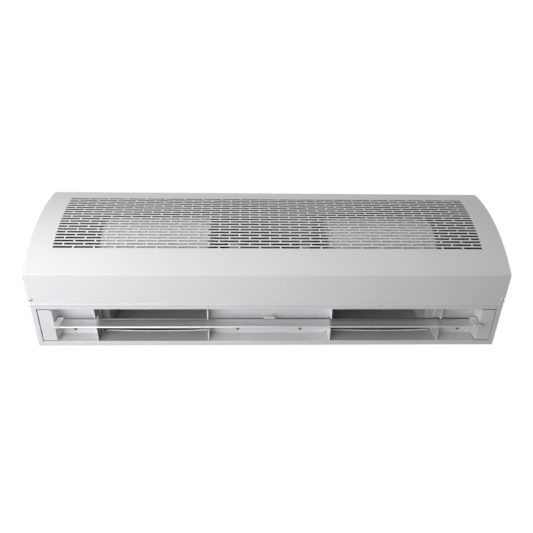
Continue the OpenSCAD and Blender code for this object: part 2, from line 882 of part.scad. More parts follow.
module hub(side) {
    start = housing_middle + impeller_disc / 2;
    color("dimgray") unit() on_side(side) difference() {
        union() {
            axial(hub_radius, start - hub_length / 2, start + hub_length / 2);
            axial(hub_flange, start, start + hub_flange_sheet);
        }
        axial(shaft_radius + fixed_gap, start - hub_length, start + hub_length);
        translate([start - hub_length / 3, axis_y, axis_z])
            cylinder(r = hub_screw_radius + slip_gap, h = hub_radius + 1, $fn = 32);
    }
}

module hub_screws() {
    start = housing_middle + impeller_disc / 2;
    color("black") unit() for (side = [-1, 1]) {
        on_side(side) translate([start - hub_length / 3, axis_y, axis_z + shaft_radius + slip_gap])
            difference() {
                cylinder(r = hub_screw_radius, h = hub_radius - shaft_radius, $fn = 32);
                translate([0, 0, hub_radius - shaft_radius - 2])
                    cylinder(r = 1.3, h = 3, $fn = 6);
            }
    }
}

// ---------- motor ----------

module motor_shaft() {
    end = housing_middle + hub_length / 2 + shaft_overrun;
    color("silver") unit() axial(shaft_radius, -end, end);
}

module shaft_collars() {
    color("dimgray") unit() for (side = [-1, 1]) {
        on_side(side) axial_ring(collar_radius, shaft_radius + fixed_gap, boss_end + seam_gap,
            boss_end + seam_gap + collar_length);
    }
}

module rotor_core() {
    color("gray") unit() axial_ring(rotor_radius, shaft_radius + fixed_gap, -core_half, core_half);
}

module stator_core() {
    color("gray") unit() axial_ring(motor_radius - shell_sheet - fixed_gap,
        rotor_radius + air_gap, -core_half, core_half);
}

module stator_windings() {
    bore = rotor_radius + winding_gap;
    outer = motor_radius - shell_sheet - winding_gap;
    bevel = 5;
    color("chocolate") unit() for (side = [-1, 1]) {
        on_side(side) translate([core_half, axis_y, axis_z]) rotate([0, 90, 0])
            rotate_extrude($fn = fine) difference() {
                translate([bore, 0]) square([outer - bore, winding_length]);
                translate([outer, winding_length]) rotate(45) square(bevel, center = true);
            }
    }
}

module motor_shell() {
    color("darkslategray") unit() difference() {
        axial(motor_radius, -shield_face, shield_face);
        axial(motor_radius - shell_sheet, -shield_face - 1, shield_face + 1);
        translate([lead_start[0], lead_start[1], lead_start[2] - 6])
            cylinder(r = lead_radius + slip_gap, h = 12, $fn = 32);
    }
}

// Cast end shield: a dished disc with a bearing boss and cooling windows
module end_shield(side) {
    window = 5;
    color("darkslategray") unit() on_side(side) difference() {
        union() {
            axial(motor_radius, shield_face, shield_face + shield_thickness);
            axial(boss_radius, shield_face, boss_end);
        }
        axial(motor_radius - 6, shield_face - 1, shield_face + shield_thickness - 3);
        axial(bearing_radius + fixed_gap, shield_face - 1, boss_end + 1);
        for (turn = [0:60:300]) {
            translate([shield_face, axis_y, axis_z]) rotate([turn, 0, 0])
                translate([-1, 0, (boss_radius + motor_radius - 6) / 2]) rotate([0, 90, 0])
                    cylinder(r = window, h = shield_thickness + 2, $fn = 32);
        }
    }
}

module bearing(side) {
    color("goldenrod") unit() on_side(side) axial_ring(bearing_radius,
        shaft_radius + running_gap, boss_end - boss_length + 1, boss_end);
}

module motor_ring(side) {
    color("black") unit() on_side(side) axial_ring(ring_radius, boss_radius + fixed_gap,
        bracket_x - 1, bracket_x + boss_length - 4);
}

// Folded bracket: web with a half-round seat, front flange and foot
module motor_bracket(side) {
    foot_z = tray_top;
    web_top = axis_z;
    rear_y = axis_y + bracket_half_depth;
    wide = bracket_x + bracket_flange;
    color("khaki") unit() on_side(side) difference() {
        union() {
            block([bracket_x, bracket_front_y, foot_z], [bracket_x + bracket_sheet, rear_y, web_top]);
            block([bracket_x, bracket_front_y, foot_z],
                [wide, bracket_front_y + bracket_sheet, web_top + 8]);
            block([bracket_x, bracket_front_y, foot_z], [wide, rear_y, foot_z + bracket_sheet]);
            block([bracket_x, rear_y - 1, foot_z],
                [tray_screw_inner + 8, tray_screw_y + 8, foot_z + bracket_sheet]);
            intersection() {
                axial(ring_radius + bracket_sheet, bracket_x, strap_end);
                block([bracket_x, axis_y - ring_radius - 5, axis_z - ring_radius - 5],
                    [strap_end, axis_y + ring_radius + 5, axis_z]);
            }
            // seats for the strap's ears
            for (place = strap_ear_y()) {
                block([bracket_x, place - 6, web_top - 2], [strap_end, place + 6, web_top]);
            }
        }
        axial(ring_radius + fixed_gap, bracket_x - 1, wide + 1);
        translate([tray_screw_inner, tray_screw_y, foot_z - 1])
            cylinder(r = screw_hole, h = 5, $fn = 32);
        for (place = strap_ear_y()) {
            translate([strap_middle, place, web_top - 10])
                cylinder(r = screw_hole, h = 12, $fn = 32);
        }
    }
}

function strap_ear_y() =
    [for (s = [-1, 1]) axis_y + s * (ring_radius + strap_sheet + strap_ear / 2)];

// Strap over the rubber ring, with an ear on each side
module motor_strap(side) {
    start = bracket_x;
    end = strap_end;
    ear = ring_radius + strap_sheet + strap_ear - 1;
    color("khaki") unit() on_side(side) difference() {
        union() {
            axial(ring_radius + strap_sheet, start, end);
            block([start, axis_y - ear, axis_z], [end, axis_y + ear, axis_z + strap_sheet]);
        }
        axial(ring_radius + fixed_gap, start - 1, end + 1);
        block([start - 1, axis_y - 2 * ear, axis_z - 2 * ear], [end + 1, axis_y + 2 * ear, axis_z]);
        for (place = strap_ear_y()) {
            translate([strap_middle, place, axis_z - 1]) cylinder(r = screw_hole, h = 6, $fn = 32);
        }
    }
}

// ---------- electrics ----------

module terminal_box() {
    front = box_rear - box_depth;
    low = box_top - box_height;
    color("darkgray") unit() difference() {
        union() {
            block([box_left, front, low], [box_left + box_width, box_rear, box_top - 10]);
            block([box_left, box_rear - box_sheet, low], [box_left + box_width, box_rear, box_top]);
            block([box_left, box_rear - 10, box_top - box_sheet],
                [box_left + box_width, box_rear, box_top]);
        }
        block([box_left + box_sheet, front - 1, low + box_sheet],
            [box_left + box_width - box_sheet, box_rear - box_sheet, box_top - 10 - box_sheet]);
        translate([lead_end[0], box_rear - box_sheet - 1, lead_end[2]]) rotate([-90, 0, 0])
            cylinder(r = lead_radius + slip_gap, h = 4, $fn = 32);
    }
}

module terminal_cover() {
    front = box_rear - box_depth;
    low = box_top - box_height;
    color("darkgray") unit() {
        block([box_left, front - cover_sheet, low], [box_left + box_width, front, box_top - 10]);
        block([box_left, front - cover_sheet, low - cover_sheet],
            [box_left + box_width, front + 6, low]);
    }
}

// Screw terminals on a moulded strip
module terminal_block() {
    ways = 5;
    pitch = 11;
    left = box_left + 12;
    back = box_rear - box_sheet;
    half = 10;
    middle = lead_end[2] - lead_radius - lead_room - half;
    color("ivory") unit() difference() {
        union() {
            block([left, back - 6, middle - half], [left + ways * pitch, back, middle + half]);
            for (i = [0:ways - 1]) {
                block([left + i * pitch + 1, back - 14, middle - 7],
                    [left + (i + 1) * pitch - 1, back - 5, middle + 7]);
            }
        }
        for (i = [0:ways - 1]) {
            translate([left + (i + 0.5) * pitch, back - 10, middle]) rotate([90, 0, 0])
                cylinder(r = 2.5, h = 6, $fn = 32);
        }
    }
}

capacitor_y = -casing_sheet - clip_sheet - capacitor_radius;

module capacitor() {
    color("whitesmoke") unit() translate([capacitor_x, capacitor_y, capacitor_z])
        rotate([0, 90, 0]) {
            cylinder(r = capacitor_radius, h = capacitor_length, $fn = fine);
            for (s = [-5, 5]) {
                translate([-0.4, s - 3, capacitor_length - 1]) cube([0.8, 6, 9]);
            }
        }
}

module capacitor_clip() {
    width = 16;
    middle = capacitor_x + capacitor_length / 2 - width / 2;
    color("silver") unit() translate([middle, capacitor_y, capacitor_z]) rotate([90, 0, 90])
        linear_extrude(width) difference() {
            union() {
                circle(r = capacitor_radius + clip_sheet, $fn = fine);
                translate([capacitor_radius, -capacitor_radius - clip_ear])
                    square([clip_sheet, 2 * (capacitor_radius + clip_ear)]);
            }
            circle(r = capacitor_radius + fixed_gap, $fn = fine);
            translate([-capacitor_radius - 2, -6]) square([capacitor_radius, 12]);
        }
}

// Lead from the motor to the terminal box
lead_radius = 3;
lead_room = 2.2;
lead_forward = 14;
lead_from_end = 12;
lead_from_side = 22;
lead_rise = 12;
lead_start = [shield_face - lead_from_end, axis_y - lead_forward,
    axis_z + sqrt(pow(motor_radius, 2) - pow(lead_forward, 2))];
lead_end = [box_left + box_width - lead_from_side, box_rear - box_sheet,
    lead_start[2] + lead_rise];

module motor_lead() {
    bend = [lead_start[0], lead_start[1], lead_end[2]];
    corner = [lead_end[0], lead_start[1], lead_end[2]];
    tail = lead_end - [0, 6, 0];
    color("dimgray") unit() {
        rod(lead_start - [0, 0, 3], bend, lead_radius);
        translate(bend) sphere(r = lead_radius, $fn = 24);
        rod(bend, corner, lead_radius);
        translate(corner) sphere(r = lead_radius, $fn = 24);
        rod(corner, tail, lead_radius);
    }
}

// Grommet in the top panel, where a supply cable goes in
module cable_grommet() {
    lip = 2;
    color("black") unit() translate([grommet_x, grommet_y, top_panel_z]) difference() {
        union() {
            translate([0, 0, -lip]) cylinder(r = grommet_flange, h = lip, $fn = fine);
            translate([0, 0, -lip]) cylinder(r = grommet_body - fixed_gap,
                h = casing_sheet + 2 * lip, $fn = fine);
            translate([0, 0, casing_sheet]) cylinder(r = grommet_flange, h = lip, $fn = fine);
        }
        translate([0, 0, -lip - 1])
            cylinder(r = grommet_bore, h = casing_sheet + 2 * lip + 2, $fn = fine);
    }
}

// ---------- wall plate and screws ----------

module wall_plate() {
    half = wall_plate_length / 2;
    low = mount_height - wall_plate_height / 2;
    hook_rear = casing_sheet + hook_play / 2;
    color("silver") unit() difference() {
        union() {
            block([-half, 0, low], [half, wall_plate_sheet, low + wall_plate_height]);
            for (side = [-1, 1]) {
                on_side(side) translate([hook_offset, 0, 0]) {
                    block([-hook_width / 2, -hook_rear - hook_sheet, hook_z - hook_sheet],
                        [hook_width / 2, wall_plate_sheet, hook_z]);
                    block([-hook_width / 2, -hook_rear - hook_sheet, hook_z - hook_sheet],
                        [hook_width / 2, -hook_rear, hook_z + hook_lip]);
                }
            }
        }
        for (side = [-1, 1], level = [-1, 1]) {
            translate([side * wall_hole_spacing_x / 2, -1,
                mount_height + level * wall_hole_spacing_z / 2])
                rotate([-90, 0, 0]) cylinder(d = wall_hole, h = wall_plate_sheet + 2, $fn = fine);
        }
    }
}

function tray_screw_places() =
    [for (x = [-tray_screw_outer, -tray_screw_inner, tray_screw_inner, tray_screw_outer])
        [x, tray_screw_y]];

module casing_screws() {
    color("silver") unit() {
        for (place = band_screws()) {
            translate([place[0], place[1], 0]) rotate([180, 0, 0]) pan_screw(screw_reach);
        }
        for (place = top_screws()) {
            translate([place[0], place[1], body_height]) pan_screw(screw_reach);
        }
    }
}

module tray_screws() {
    color("peru") unit() for (place = tray_screw_places()) {
        translate([place[0], place[1], tray_depth]) rotate([180, 0, 0]) pan_screw(screw_reach);
    }
}

module strap_screws() {
    color("silver") unit() for (side = [-1, 1], place = strap_ear_y()) {
        translate([side * strap_middle, place, axis_z + strap_sheet]) pan_screw(screw_reach);
    }
}

module earth_screw() {
    from_end = 40;
    above_tray = 30;
    color("goldenrod") unit()
        translate([from_end - panel_end, -casing_sheet, tray_top + above_tray])
            rotate([90, 0, 0])
                difference() {
                    cylinder(r = 5, h = 4, $fn = 6);
                    translate([0, 0, 3]) cylinder(r = 2.5, h = 2, $fn = 32);
                }
}

front_casing();
top_panel();
rear_panel();
end_panel(-1);  // end_panel_left
end_panel(1);  // end_panel_right
outlet_tray();
end_bracket(-1);  // end_bracket_left
end_bracket(1);  // end_bracket_right
vane_bush(-1);  // vane_bush_left
vane_bush(1);  // vane_bush_right
vane_hanger();
vane_blade();
vane_cap(-1);  // vane_cap_left
vane_cap(1);  // vane_cap_right
scroll(-1);  // scroll_left
scroll(1);  // scroll_right
outer_plate(-1);  // side_plate_left_outer
inner_plate(-1);  // side_plate_left_inner
inner_plate(1);  // side_plate_right_inner
outer_plate(1);  // side_plate_right_outer
inlet_ring(-1, housing_outer, -1);  // inlet_ring_left_outer
inlet_ring(-1, bay_inner, 1);  // inlet_ring_left_inner
inlet_ring(1, bay_inner, 1);  // inlet_ring_right_inner
inlet_ring(1, housing_outer, -1);  // inlet_ring_right_outer
housing_foot(-1);  // housing_foot_left
housing_foot(1);  // housing_foot_right
impeller(-1);  // impeller_left
impeller(1);  // impeller_right
hub(-1);  // hub_left
hub(1);  // hub_right
hub_screws();
motor_shaft();
shaft_collars();
rotor_core();
stator_core();
stator_windings();
motor_shell();
end_shield(-1);  // end_shield_left
end_shield(1);  // end_shield_right
bearing(-1);  // bearing_left
bearing(1);  // bearing_right
motor_ring(-1);  // motor_ring_left
motor_ring(1);  // motor_ring_right
motor_strap(-1);  // motor_strap_left
motor_strap(1);  // motor_strap_right
motor_bracket(-1);  // motor_bracket_left
motor_bracket(1);  // motor_bracket_right
terminal_box();
terminal_cover();
terminal_block();
capacitor();
capacitor_clip();
motor_lead();
cable_grommet();
wall_plate();
casing_screws();
tray_screws();
strap_screws();
earth_screw();
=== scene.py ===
import json
import math
import bmesh
import bpy
import numpy as np
from mathutils import Matrix, Vector


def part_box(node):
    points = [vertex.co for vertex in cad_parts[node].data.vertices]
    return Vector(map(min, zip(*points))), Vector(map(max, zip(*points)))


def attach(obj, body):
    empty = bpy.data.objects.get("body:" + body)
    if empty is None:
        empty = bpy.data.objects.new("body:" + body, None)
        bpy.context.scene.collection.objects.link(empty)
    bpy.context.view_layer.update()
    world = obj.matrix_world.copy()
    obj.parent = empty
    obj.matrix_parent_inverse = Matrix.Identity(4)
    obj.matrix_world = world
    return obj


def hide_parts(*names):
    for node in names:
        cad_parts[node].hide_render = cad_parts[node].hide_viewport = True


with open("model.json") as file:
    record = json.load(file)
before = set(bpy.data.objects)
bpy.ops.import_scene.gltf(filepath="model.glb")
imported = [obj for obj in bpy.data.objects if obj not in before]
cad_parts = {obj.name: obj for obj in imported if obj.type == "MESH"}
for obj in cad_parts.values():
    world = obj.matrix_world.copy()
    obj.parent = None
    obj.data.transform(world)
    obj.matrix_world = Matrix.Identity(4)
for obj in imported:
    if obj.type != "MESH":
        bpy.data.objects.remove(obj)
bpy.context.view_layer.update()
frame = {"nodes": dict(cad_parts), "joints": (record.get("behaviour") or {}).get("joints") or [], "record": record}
nodes = frame["nodes"]
mm = 0.001
unitShift = np.array([0.0, -0.002, -0.145])   # from the rear panel's underside to the wall holes
print("frame loaded:", len(nodes), "CAD nodes")


def addNode(tree, kind, **values):
    # a shader node, with its inputs or settings given by name
    node = tree.nodes.new(kind)
    for key, value in values.items():
        if key in node.inputs:
            node.inputs[key].default_value = value
        else:
            setattr(node, key, value)
    return node


def objectPoint(tree, stretch=(1, 1, 1)):
    # object coordinates in metres, stretched along each axis
    coord = addNode(tree, "ShaderNodeTexCoord")
    mapping = addNode(tree, "ShaderNodeMapping")
    mapping.inputs["Scale"].default_value = stretch
    tree.links.new(coord.outputs["Object"], mapping.inputs["Vector"])
    return mapping.outputs["Vector"]


def noiseAt(tree, point, scale, detail=3.0, rough=0.5):
    # even noise, round 0.5
    noise = addNode(tree, "ShaderNodeTexNoise", Scale=scale, Detail=detail, Roughness=rough)
    tree.links.new(point, noise.inputs["Vector"])
    return noise.outputs["Fac"]


def ramp(tree, factor, low, high, fromValue, toValue):
    # the factor between low and high becomes a number between fromValue and toValue
    node = addNode(tree, "ShaderNodeMapRange")
    node.inputs["From Min"].default_value = low
    node.inputs["From Max"].default_value = high
    node.inputs["To Min"].default_value = fromValue
    node.inputs["To Max"].default_value = toValue
    tree.links.new(factor, node.inputs["Value"])
    return node.outputs["Result"]


def spread(tree, noise, fromValue, toValue):
    # noise stays near its middle, so the range it fills becomes the range between two numbers
    return ramp(tree, noise, 0.3, 0.7, fromValue, toValue)


def mixColour(tree, factor, first, second):
    # the first colour where the factor is 0, the second where it is 1; each is plain or a node's output
    node = addNode(tree, "ShaderNodeMix", data_type="RGBA")
    for key, colour in (("A", first), ("B", second)):
        if isinstance(colour, tuple):
            node.inputs[key].default_value = (*colour, 1)
        else:
            tree.links.new(colour, node.inputs[key])
    tree.links.new(factor, node.inputs["Factor"])
    return node.outputs["Result"]


def shade(colour, amount):
    # a colour made lighter or darker, at most white
    return tuple(min(1, c * amount) for c in colour)


def newMaterial(name):
    # a material with its node tree and its shader
    material = bpy.data.materials.new(name)
    material.use_nodes = True
    tree = material.node_tree
    return material, tree, tree.nodes["Principled BSDF"]


def dress(tree, shader, tone, roughness, height, strength, distance):
    # tone, roughness and bump joined to the shader
    bump = addNode(tree, "ShaderNodeBump", Strength=strength, Distance=distance)
    tree.links.new(tone, shader.inputs["Base Color"])
    tree.links.new(roughness, shader.inputs["Roughness"])
    tree.links.new(height, bump.inputs["Height"])
    tree.links.new(bump.outputs["Normal"], shader.inputs["Normal"])


def mathNode(tree, operation, first, second=0.0):
    # one sum on two inputs, each a number or another node's output
    node = addNode(tree, "ShaderNodeMath", operation=operation)
    for socket, value in zip(node.inputs, (first, second)):
        if isinstance(value, (int, float)):
            socket.default_value = value
        else:
            tree.links.new(value, socket)
    return node.outputs[0]


def largest(tree, *values):
    # the greatest of several factors
    result = values[0]
    for value in values[1:]:
        result = mathNode(tree, "MAXIMUM", result, value)
    return result


def axesOf(tree, point):
    # x, y and z of a point or a direction
    split = addNode(tree, "ShaderNodeSeparateXYZ")
    tree.links.new(point, split.inputs[0])
    return split.outputs


# where a painted shade meets the plain colour, in metres: how far short of a face or height the change starts and
# ends
edgeLook = {"bowSkin": (0.0007, 0.0002), "belowGrille": (0.190, 0.186), "aboveGrille": (0.024, 0.020),
            "topSheet": (0.0024, 0.0020), "endSheet": (0.0009, 0.0004), "rearSheet": (0.0008, 0.0004),
            "bead": (0.0028, 0.0020)}
# offset from a blower's middle along the surface's normal, in metres: inside below the first value,
# outside beyond the second; the inside takes a painted shade
housingTurn = (0.066, 0.074)
# the rear wall behind a blower, which takes a painted shade, in metres from the frame's origin; its tone changes
# over twice soft
bayLook = {"inner": 0.120, "outer": 0.333, "wall": -0.016, "soffit": -0.143, "soft": 0.0005}


def edgeStep(tree, value, face, change, before=0, after=1):
    # one number turns into another as the value comes up to a face
    return ramp(tree, value, face - change[0], face - change[1], before, after)


def outsideBow(tree, point):
    # 1 at the bow's outer face, 0 from half its sheet inwards, by the distance from the bow's axis;
    # the inner face takes the painted shade of the casing's inside, but below the grille and above it
    # the whole sheet keeps the paint's colour
    _, y, z = axesOf(tree, point)
    dy, dz = mathNode(tree, "SUBTRACT", y, bowAxis[0]), mathNode(tree, "SUBTRACT", z, bowAxis[1])
    squares = mathNode(tree, "ADD", mathNode(tree, "MULTIPLY", dy, dy), mathNode(tree, "MULTIPLY", dz, dz))
    return largest(tree, edgeStep(tree, mathNode(tree, "SQRT", squares), bowRadius, edgeLook["bowSkin"]),
                   edgeStep(tree, z, bowAxis[1], edgeLook["belowGrille"], 1, 0),
                   edgeStep(tree, z, bowAxis[1], edgeLook["aboveGrille"]))


def outsideTop(tree, point):
    # 1 above the middle of the top sheet; below it the sheet's inner face takes a painted shade
    return edgeStep(tree, axesOf(tree, point)[2], bowAxis[1], edgeLook["topSheet"])


def outsideEnds(tree, point):
    # 1 beyond the middle of the end sheets, on both sides; within it the inner face takes a painted shade
    across = mathNode(tree, "ABSOLUTE", axesOf(tree, point)[0])
    return edgeStep(tree, across, endFace, edgeLook["endSheet"])


def outsideBack(tree, point):
    # 1 on the rear half of the rear sheet; its front half, the inner face, takes a painted shade
    return edgeStep(tree, axesOf(tree, point)[1], unitShift[1], edgeLook["rearSheet"])


def alongBead(tree, point):
    # 1 on the bead along the vane's pivot, where the vane metal takes a painted shade, 0 on the web below it
    return edgeStep(tree, axesOf(tree, point)[2], beadHeight, edgeLook["bead"])


def outsideHousing(tree, point):
    # 1 where the surface faces away from the middle of its own blower: place from that middle times normal;
    # the faces turned towards that middle take a painted shade
    x, y, z = axesOf(tree, point)
    across = mathNode(tree, "SUBTRACT", mathNode(tree, "ABSOLUTE", x), blowerMiddle[0])
    place = (mathNode(tree, "MULTIPLY", across, mathNode(tree, "SIGN", x)),
             mathNode(tree, "SUBTRACT", y, blowerMiddle[1]), mathNode(tree, "SUBTRACT", z, blowerMiddle[2]))
    normal = axesOf(tree, addNode(tree, "ShaderNodeNewGeometry").outputs["True Normal"])
    parts = [mathNode(tree, "MULTIPLY", offset, facing) for offset, facing in zip(place, normal)]
    reach = mathNode(tree, "ADD", parts[0], mathNode(tree, "ADD", parts[1], parts[2]))
    return ramp(tree, reach, *housingTurn, 0, 1)


def clearOfThroats(tree, point):
    # 0 on the recess's rear wall behind the blowers, where the tray paint turns to a painted shade, 1 elsewhere
    x, y, z = axesOf(tree, point)
    across, soft = mathNode(tree, "ABSOLUTE", x), bayLook["soft"]
    return largest(tree, edgeStep(tree, across, bayLook["inner"], (soft, -soft), 1, 0),
                   edgeStep(tree, across, bayLook["outer"], (soft, -soft)),
                   edgeStep(tree, y, bayLook["wall"], (soft, -soft), 1, 0),
                   edgeStep(tree, z, bayLook["soffit"], (soft, 0), 1, 0))


def powderCoat(name, colour, rough=0.42, peel=0.10, gloss=0.5, outside=None, paintedShade=(0.07, 0.07, 0.075)):
    # sprayed paint: faint cloudy tone, orange-peel bump about 1 mm across;
    # where outside gives a factor, the coat gives way to a painted shade colour as it goes to 0
    cloudScale, peelScale, peelHeight = 9, 700, 0.0004
    material, tree, shader = newMaterial(name)
    point = objectPoint(tree)
    cloud, grain = noiseAt(tree, point, cloudScale, 2), noiseAt(tree, point, peelScale, 2)
    tone = mixColour(tree, spread(tree, cloud, 0, 1), shade(colour, 0.975), colour)
    if outside:
        tone = mixColour(tree, outside(tree, point), paintedShade, tone)
    shine = ramp(tree, grain, 0.25, 0.75, rough - 0.04, rough + 0.05)
    dress(tree, shader, tone, shine, grain, peel, peelHeight)
    shader.inputs["Specular IOR Level"].default_value = gloss
    return material


def zincSheet(name, colour, rough=0.42, flake=60.0, contrast=0.10, metal=0.85, outside=None, inner=0.12):
    # galvanised sheet: faint angular flakes, each a little lighter or darker;
    # where outside is 0 the tone is scaled by inner, a painted shade on the sheet's inner face
    bumpScale, bumpStrength, bumpHeight = 300, 0.05, 0.0003
    material, tree, shader = newMaterial(name)
    point = objectPoint(tree)
    cells = addNode(tree, "ShaderNodeTexVoronoi", Scale=flake)
    tree.links.new(point, cells.inputs["Vector"])
    grey = addNode(tree, "ShaderNodeSeparateColor")
    tree.links.new(cells.outputs["Color"], grey.inputs["Color"])
    dark, pale = shade(colour, 1 - contrast), shade(colour, 1 + contrast / 2)
    tone = mixColour(tree, grey.outputs["Red"], dark, pale)
    if outside:
        tone = mixColour(tree, outside(tree, point), shade(colour, inner), tone)
    shine = ramp(tree, grey.outputs["Green"], 0, 1, rough - 0.07, rough + 0.07)
    dress(tree, shader, tone, shine, noiseAt(tree, point, bumpScale, 4), bumpStrength, bumpHeight)
    shader.inputs["Metallic"].default_value = metal
    return material


def drawnMetal(name, colour, rough=0.35, metal=1.0, stretch=(3, 400, 400), contrast=0.10, bump=0.05,
               shadeMask=None, shadeTone=0.29):
    # drawn or ground metal: fine lines along the axis of least stretch; a painted shade, darker by the given tone,
    # where the given mask is 1
    lineScale, lineHeight = 2.5, 0.0002
    material, tree, shader = newMaterial(name)
    lines = noiseAt(tree, objectPoint(tree, stretch), lineScale, 3)
    dark, pale = shade(colour, 1 - contrast), shade(colour, 1 + contrast / 2)
    tone = mixColour(tree, spread(tree, lines, 0, 1), dark, pale)
    if shadeMask:
        tone = mixColour(tree, shadeMask(tree, objectPoint(tree)), tone, shade(colour, shadeTone))
    dress(tree, shader, tone, spread(tree, lines, rough - 0.06, rough + 0.06), lines, bump, lineHeight)
    shader.inputs["Metallic"].default_value = metal
    return material


def moulded(name, colour, rough=0.45, bump=0.08, soft=0.0):
    # moulded plastic or rubber: fine even grain, slight flow marks in tone and gloss
    flowScale, grainScale, grainHeight = 35, 900, 0.0003
    material, tree, shader = newMaterial(name)
    point = objectPoint(tree)
    flow, grain = noiseAt(tree, point, flowScale, 3), noiseAt(tree, point, grainScale, 2)
    tone = mixColour(tree, spread(tree, flow, 0, 1), shade(colour, 0.93), shade(colour, 1.03))
    dress(tree, shader, tone, spread(tree, flow, rough - 0.05, rough + 0.05), grain, bump, grainHeight)
    shader.inputs["Subsurface Weight"].default_value = soft
    shader.inputs["Subsurface Scale"].default_value = 0.002
    return material


shellLook = {"depth": 0.238, "bowDrop": 0.080}   # metres
casingHigh = np.array(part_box("front_casing")[1])
endFace, bowHeight = float(casingHigh[0]), casingHigh[2] - unitShift[2]
bowRadius = (bowHeight ** 2 + shellLook["bowDrop"] ** 2) / (2 * shellLook["bowDrop"])
bowAxis = (float(unitShift[1] - shellLook["depth"] + bowRadius), float(casingHigh[2]))
rotorPlace, vanePlace = (np.array(joint["pos_m"]) for joint in frame["joints"])
beadHeight = vanePlace[2]
scrollLow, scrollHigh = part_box("scroll_right")
blowerMiddle = ((scrollLow[0] + scrollHigh[0]) / 2, *rotorPlace[1:])
# the shell's inner faces carry a painted shade: near black inside the white sheets, 0.12 of the zinc's tone inside
# the rear sheet
caseWhite = powderCoat("caseWhite", (0.80, 0.805, 0.81), rough=0.36, gloss=0.20, outside=outsideBow)
topWhite = powderCoat("topWhite", (0.80, 0.80, 0.81), rough=0.34, gloss=0.28, outside=outsideTop)
endWhite = powderCoat("endWhite", (0.80, 0.80, 0.81), rough=0.34, gloss=0.28, outside=outsideEnds)
# painted shade: the tray's rear wall behind the blowers turns from 0.76 to 0.53
trayWhite = powderCoat("trayWhite", (0.76, 0.76, 0.775), rough=0.36, gloss=0.35, outside=clearOfThroats,
                       paintedShade=(0.53, 0.535, 0.555))
# painted highlight: the hem is the tray's paint made lighter, 0.93 for 0.76, and glossier
hemHighlight = powderCoat("hemHighlight", (0.93, 0.93, 0.94), rough=0.24, gloss=0.6)
backZinc = zincSheet("backZinc", (0.62, 0.63, 0.64), flake=110, contrast=0.07, outside=outsideBack)
plateZinc = zincSheet("plateZinc", (0.60, 0.61, 0.62), flake=110, contrast=0.08)
# the blower housings' inner faces carry a painted shade, 0.6 of their tone; the left outer side plate has a deeper
# one, 0.5
housingLook = {"colour": (0.92, 0.925, 0.925), "flake": 90, "contrast": 0.03, "metal": 0.06,
               "outside": outsideHousing}
housingSheet = zincSheet("housingSheet", inner=0.6, **housingLook)
shadedPlate = zincSheet("shadedPlate", inner=0.5, **housingLook)
bracketZinc = zincSheet("bracketZinc", (0.86, 0.91, 0.85), flake=140, contrast=0.06, metal=0.15)
impellerSheet = zincSheet("impellerSheet", (0.58, 0.59, 0.61), flake=120)
# the vane's bead carries a painted shade, its metal at 0.29 of the web's tone
vaneMetal = drawnMetal("vaneMetal", (0.83, 0.85, 0.84), rough=0.38, metal=0.85, stretch=(1, 60, 60),
                       contrast=0.03, bump=0.0, shadeMask=alongBead)
creamPlastic = moulded("creamPlastic", (0.76, 0.755, 0.725), rough=0.36, soft=0.1)
blackPlastic = moulded("blackPlastic", (0.012, 0.012, 0.013), rough=0.5)
blackRubber = moulded("blackRubber", (0.018, 0.018, 0.018), rough=0.7, bump=0.15)
castHub = zincSheet("castHub", (0.55, 0.56, 0.57), flake=500, contrast=0.15)
screwZinc = drawnMetal("screwZinc", (0.70, 0.71, 0.72), rough=0.24, stretch=(300, 300, 30))
screwBrass = drawnMetal("screwBrass", (0.45, 0.29, 0.13), rough=0.3, stretch=(300, 300, 30))
shaftSteel = drawnMetal("shaftSteel", (0.56, 0.56, 0.58), rough=0.25, stretch=(900, 40, 40))
coreSteel = drawnMetal("coreSteel", (0.12, 0.12, 0.13), rough=0.5, stretch=(700, 5, 5),
                       contrast=0.3, bump=0.3)
windingCopper = drawnMetal("windingCopper", (0.42, 0.16, 0.06), stretch=(500, 500, 500), bump=0.3)
motorPaint = powderCoat("motorPaint", (0.045, 0.060, 0.055), rough=0.4, peel=0.15)
bushBronze = zincSheet("bushBronze", (0.45, 0.30, 0.14), flake=900, contrast=0.2)
boxGrey = powderCoat("boxGrey", (0.13, 0.135, 0.14), rough=0.5)
ivoryPlastic = moulded("ivoryPlastic", (0.66, 0.62, 0.50), rough=0.4)
whitePlastic = moulded("whitePlastic", (0.72, 0.72, 0.71), rough=0.35)
leadSleeve = moulded("leadSleeve", (0.05, 0.05, 0.055), rough=0.55)

slotFinish = {
    "white_paint": caseWhite, "tray_paint": trayWhite, "zinc_sheet": backZinc,
    "housing_sheet": housingSheet, "zinc_green": bracketZinc, "vane_metal": vaneMetal,
    "cream_plastic": creamPlastic, "black_plastic": blackPlastic,
    "impeller_sheet": impellerSheet, "hub_metal": castHub, "bright_steel": screwZinc,
    "brass_screw": screwBrass, "shaft_steel": shaftSteel, "core_steel": coreSteel,
    "winding_copper": windingCopper, "motor_paint": motorPaint, "bronze": bushBronze,
    "black_rubber": blackRubber, "box_grey": boxGrey, "ivory_plastic": ivoryPlastic,
    "white_plastic": whitePlastic, "lead_sleeve": leadSleeve,
}
nodeFinish = {
    "top_panel": topWhite, "end_panel_left": endWhite, "end_panel_right": endWhite,
    "side_plate_left_outer": shadedPlate, "wall_plate": plateZinc,
    "housing_foot_left": plateZinc, "housing_foot_right": plateZinc,
}
for entry in frame["record"]["subparts"]:
    cadNode = nodes[entry["node"]]
    cadNode.data.materials.clear()
    cadNode.data.materials.append(nodeFinish.get(entry["node"], slotFinish[entry["material_slot"]]))
print("finishes:", len(slotFinish) + len(nodeFinish))


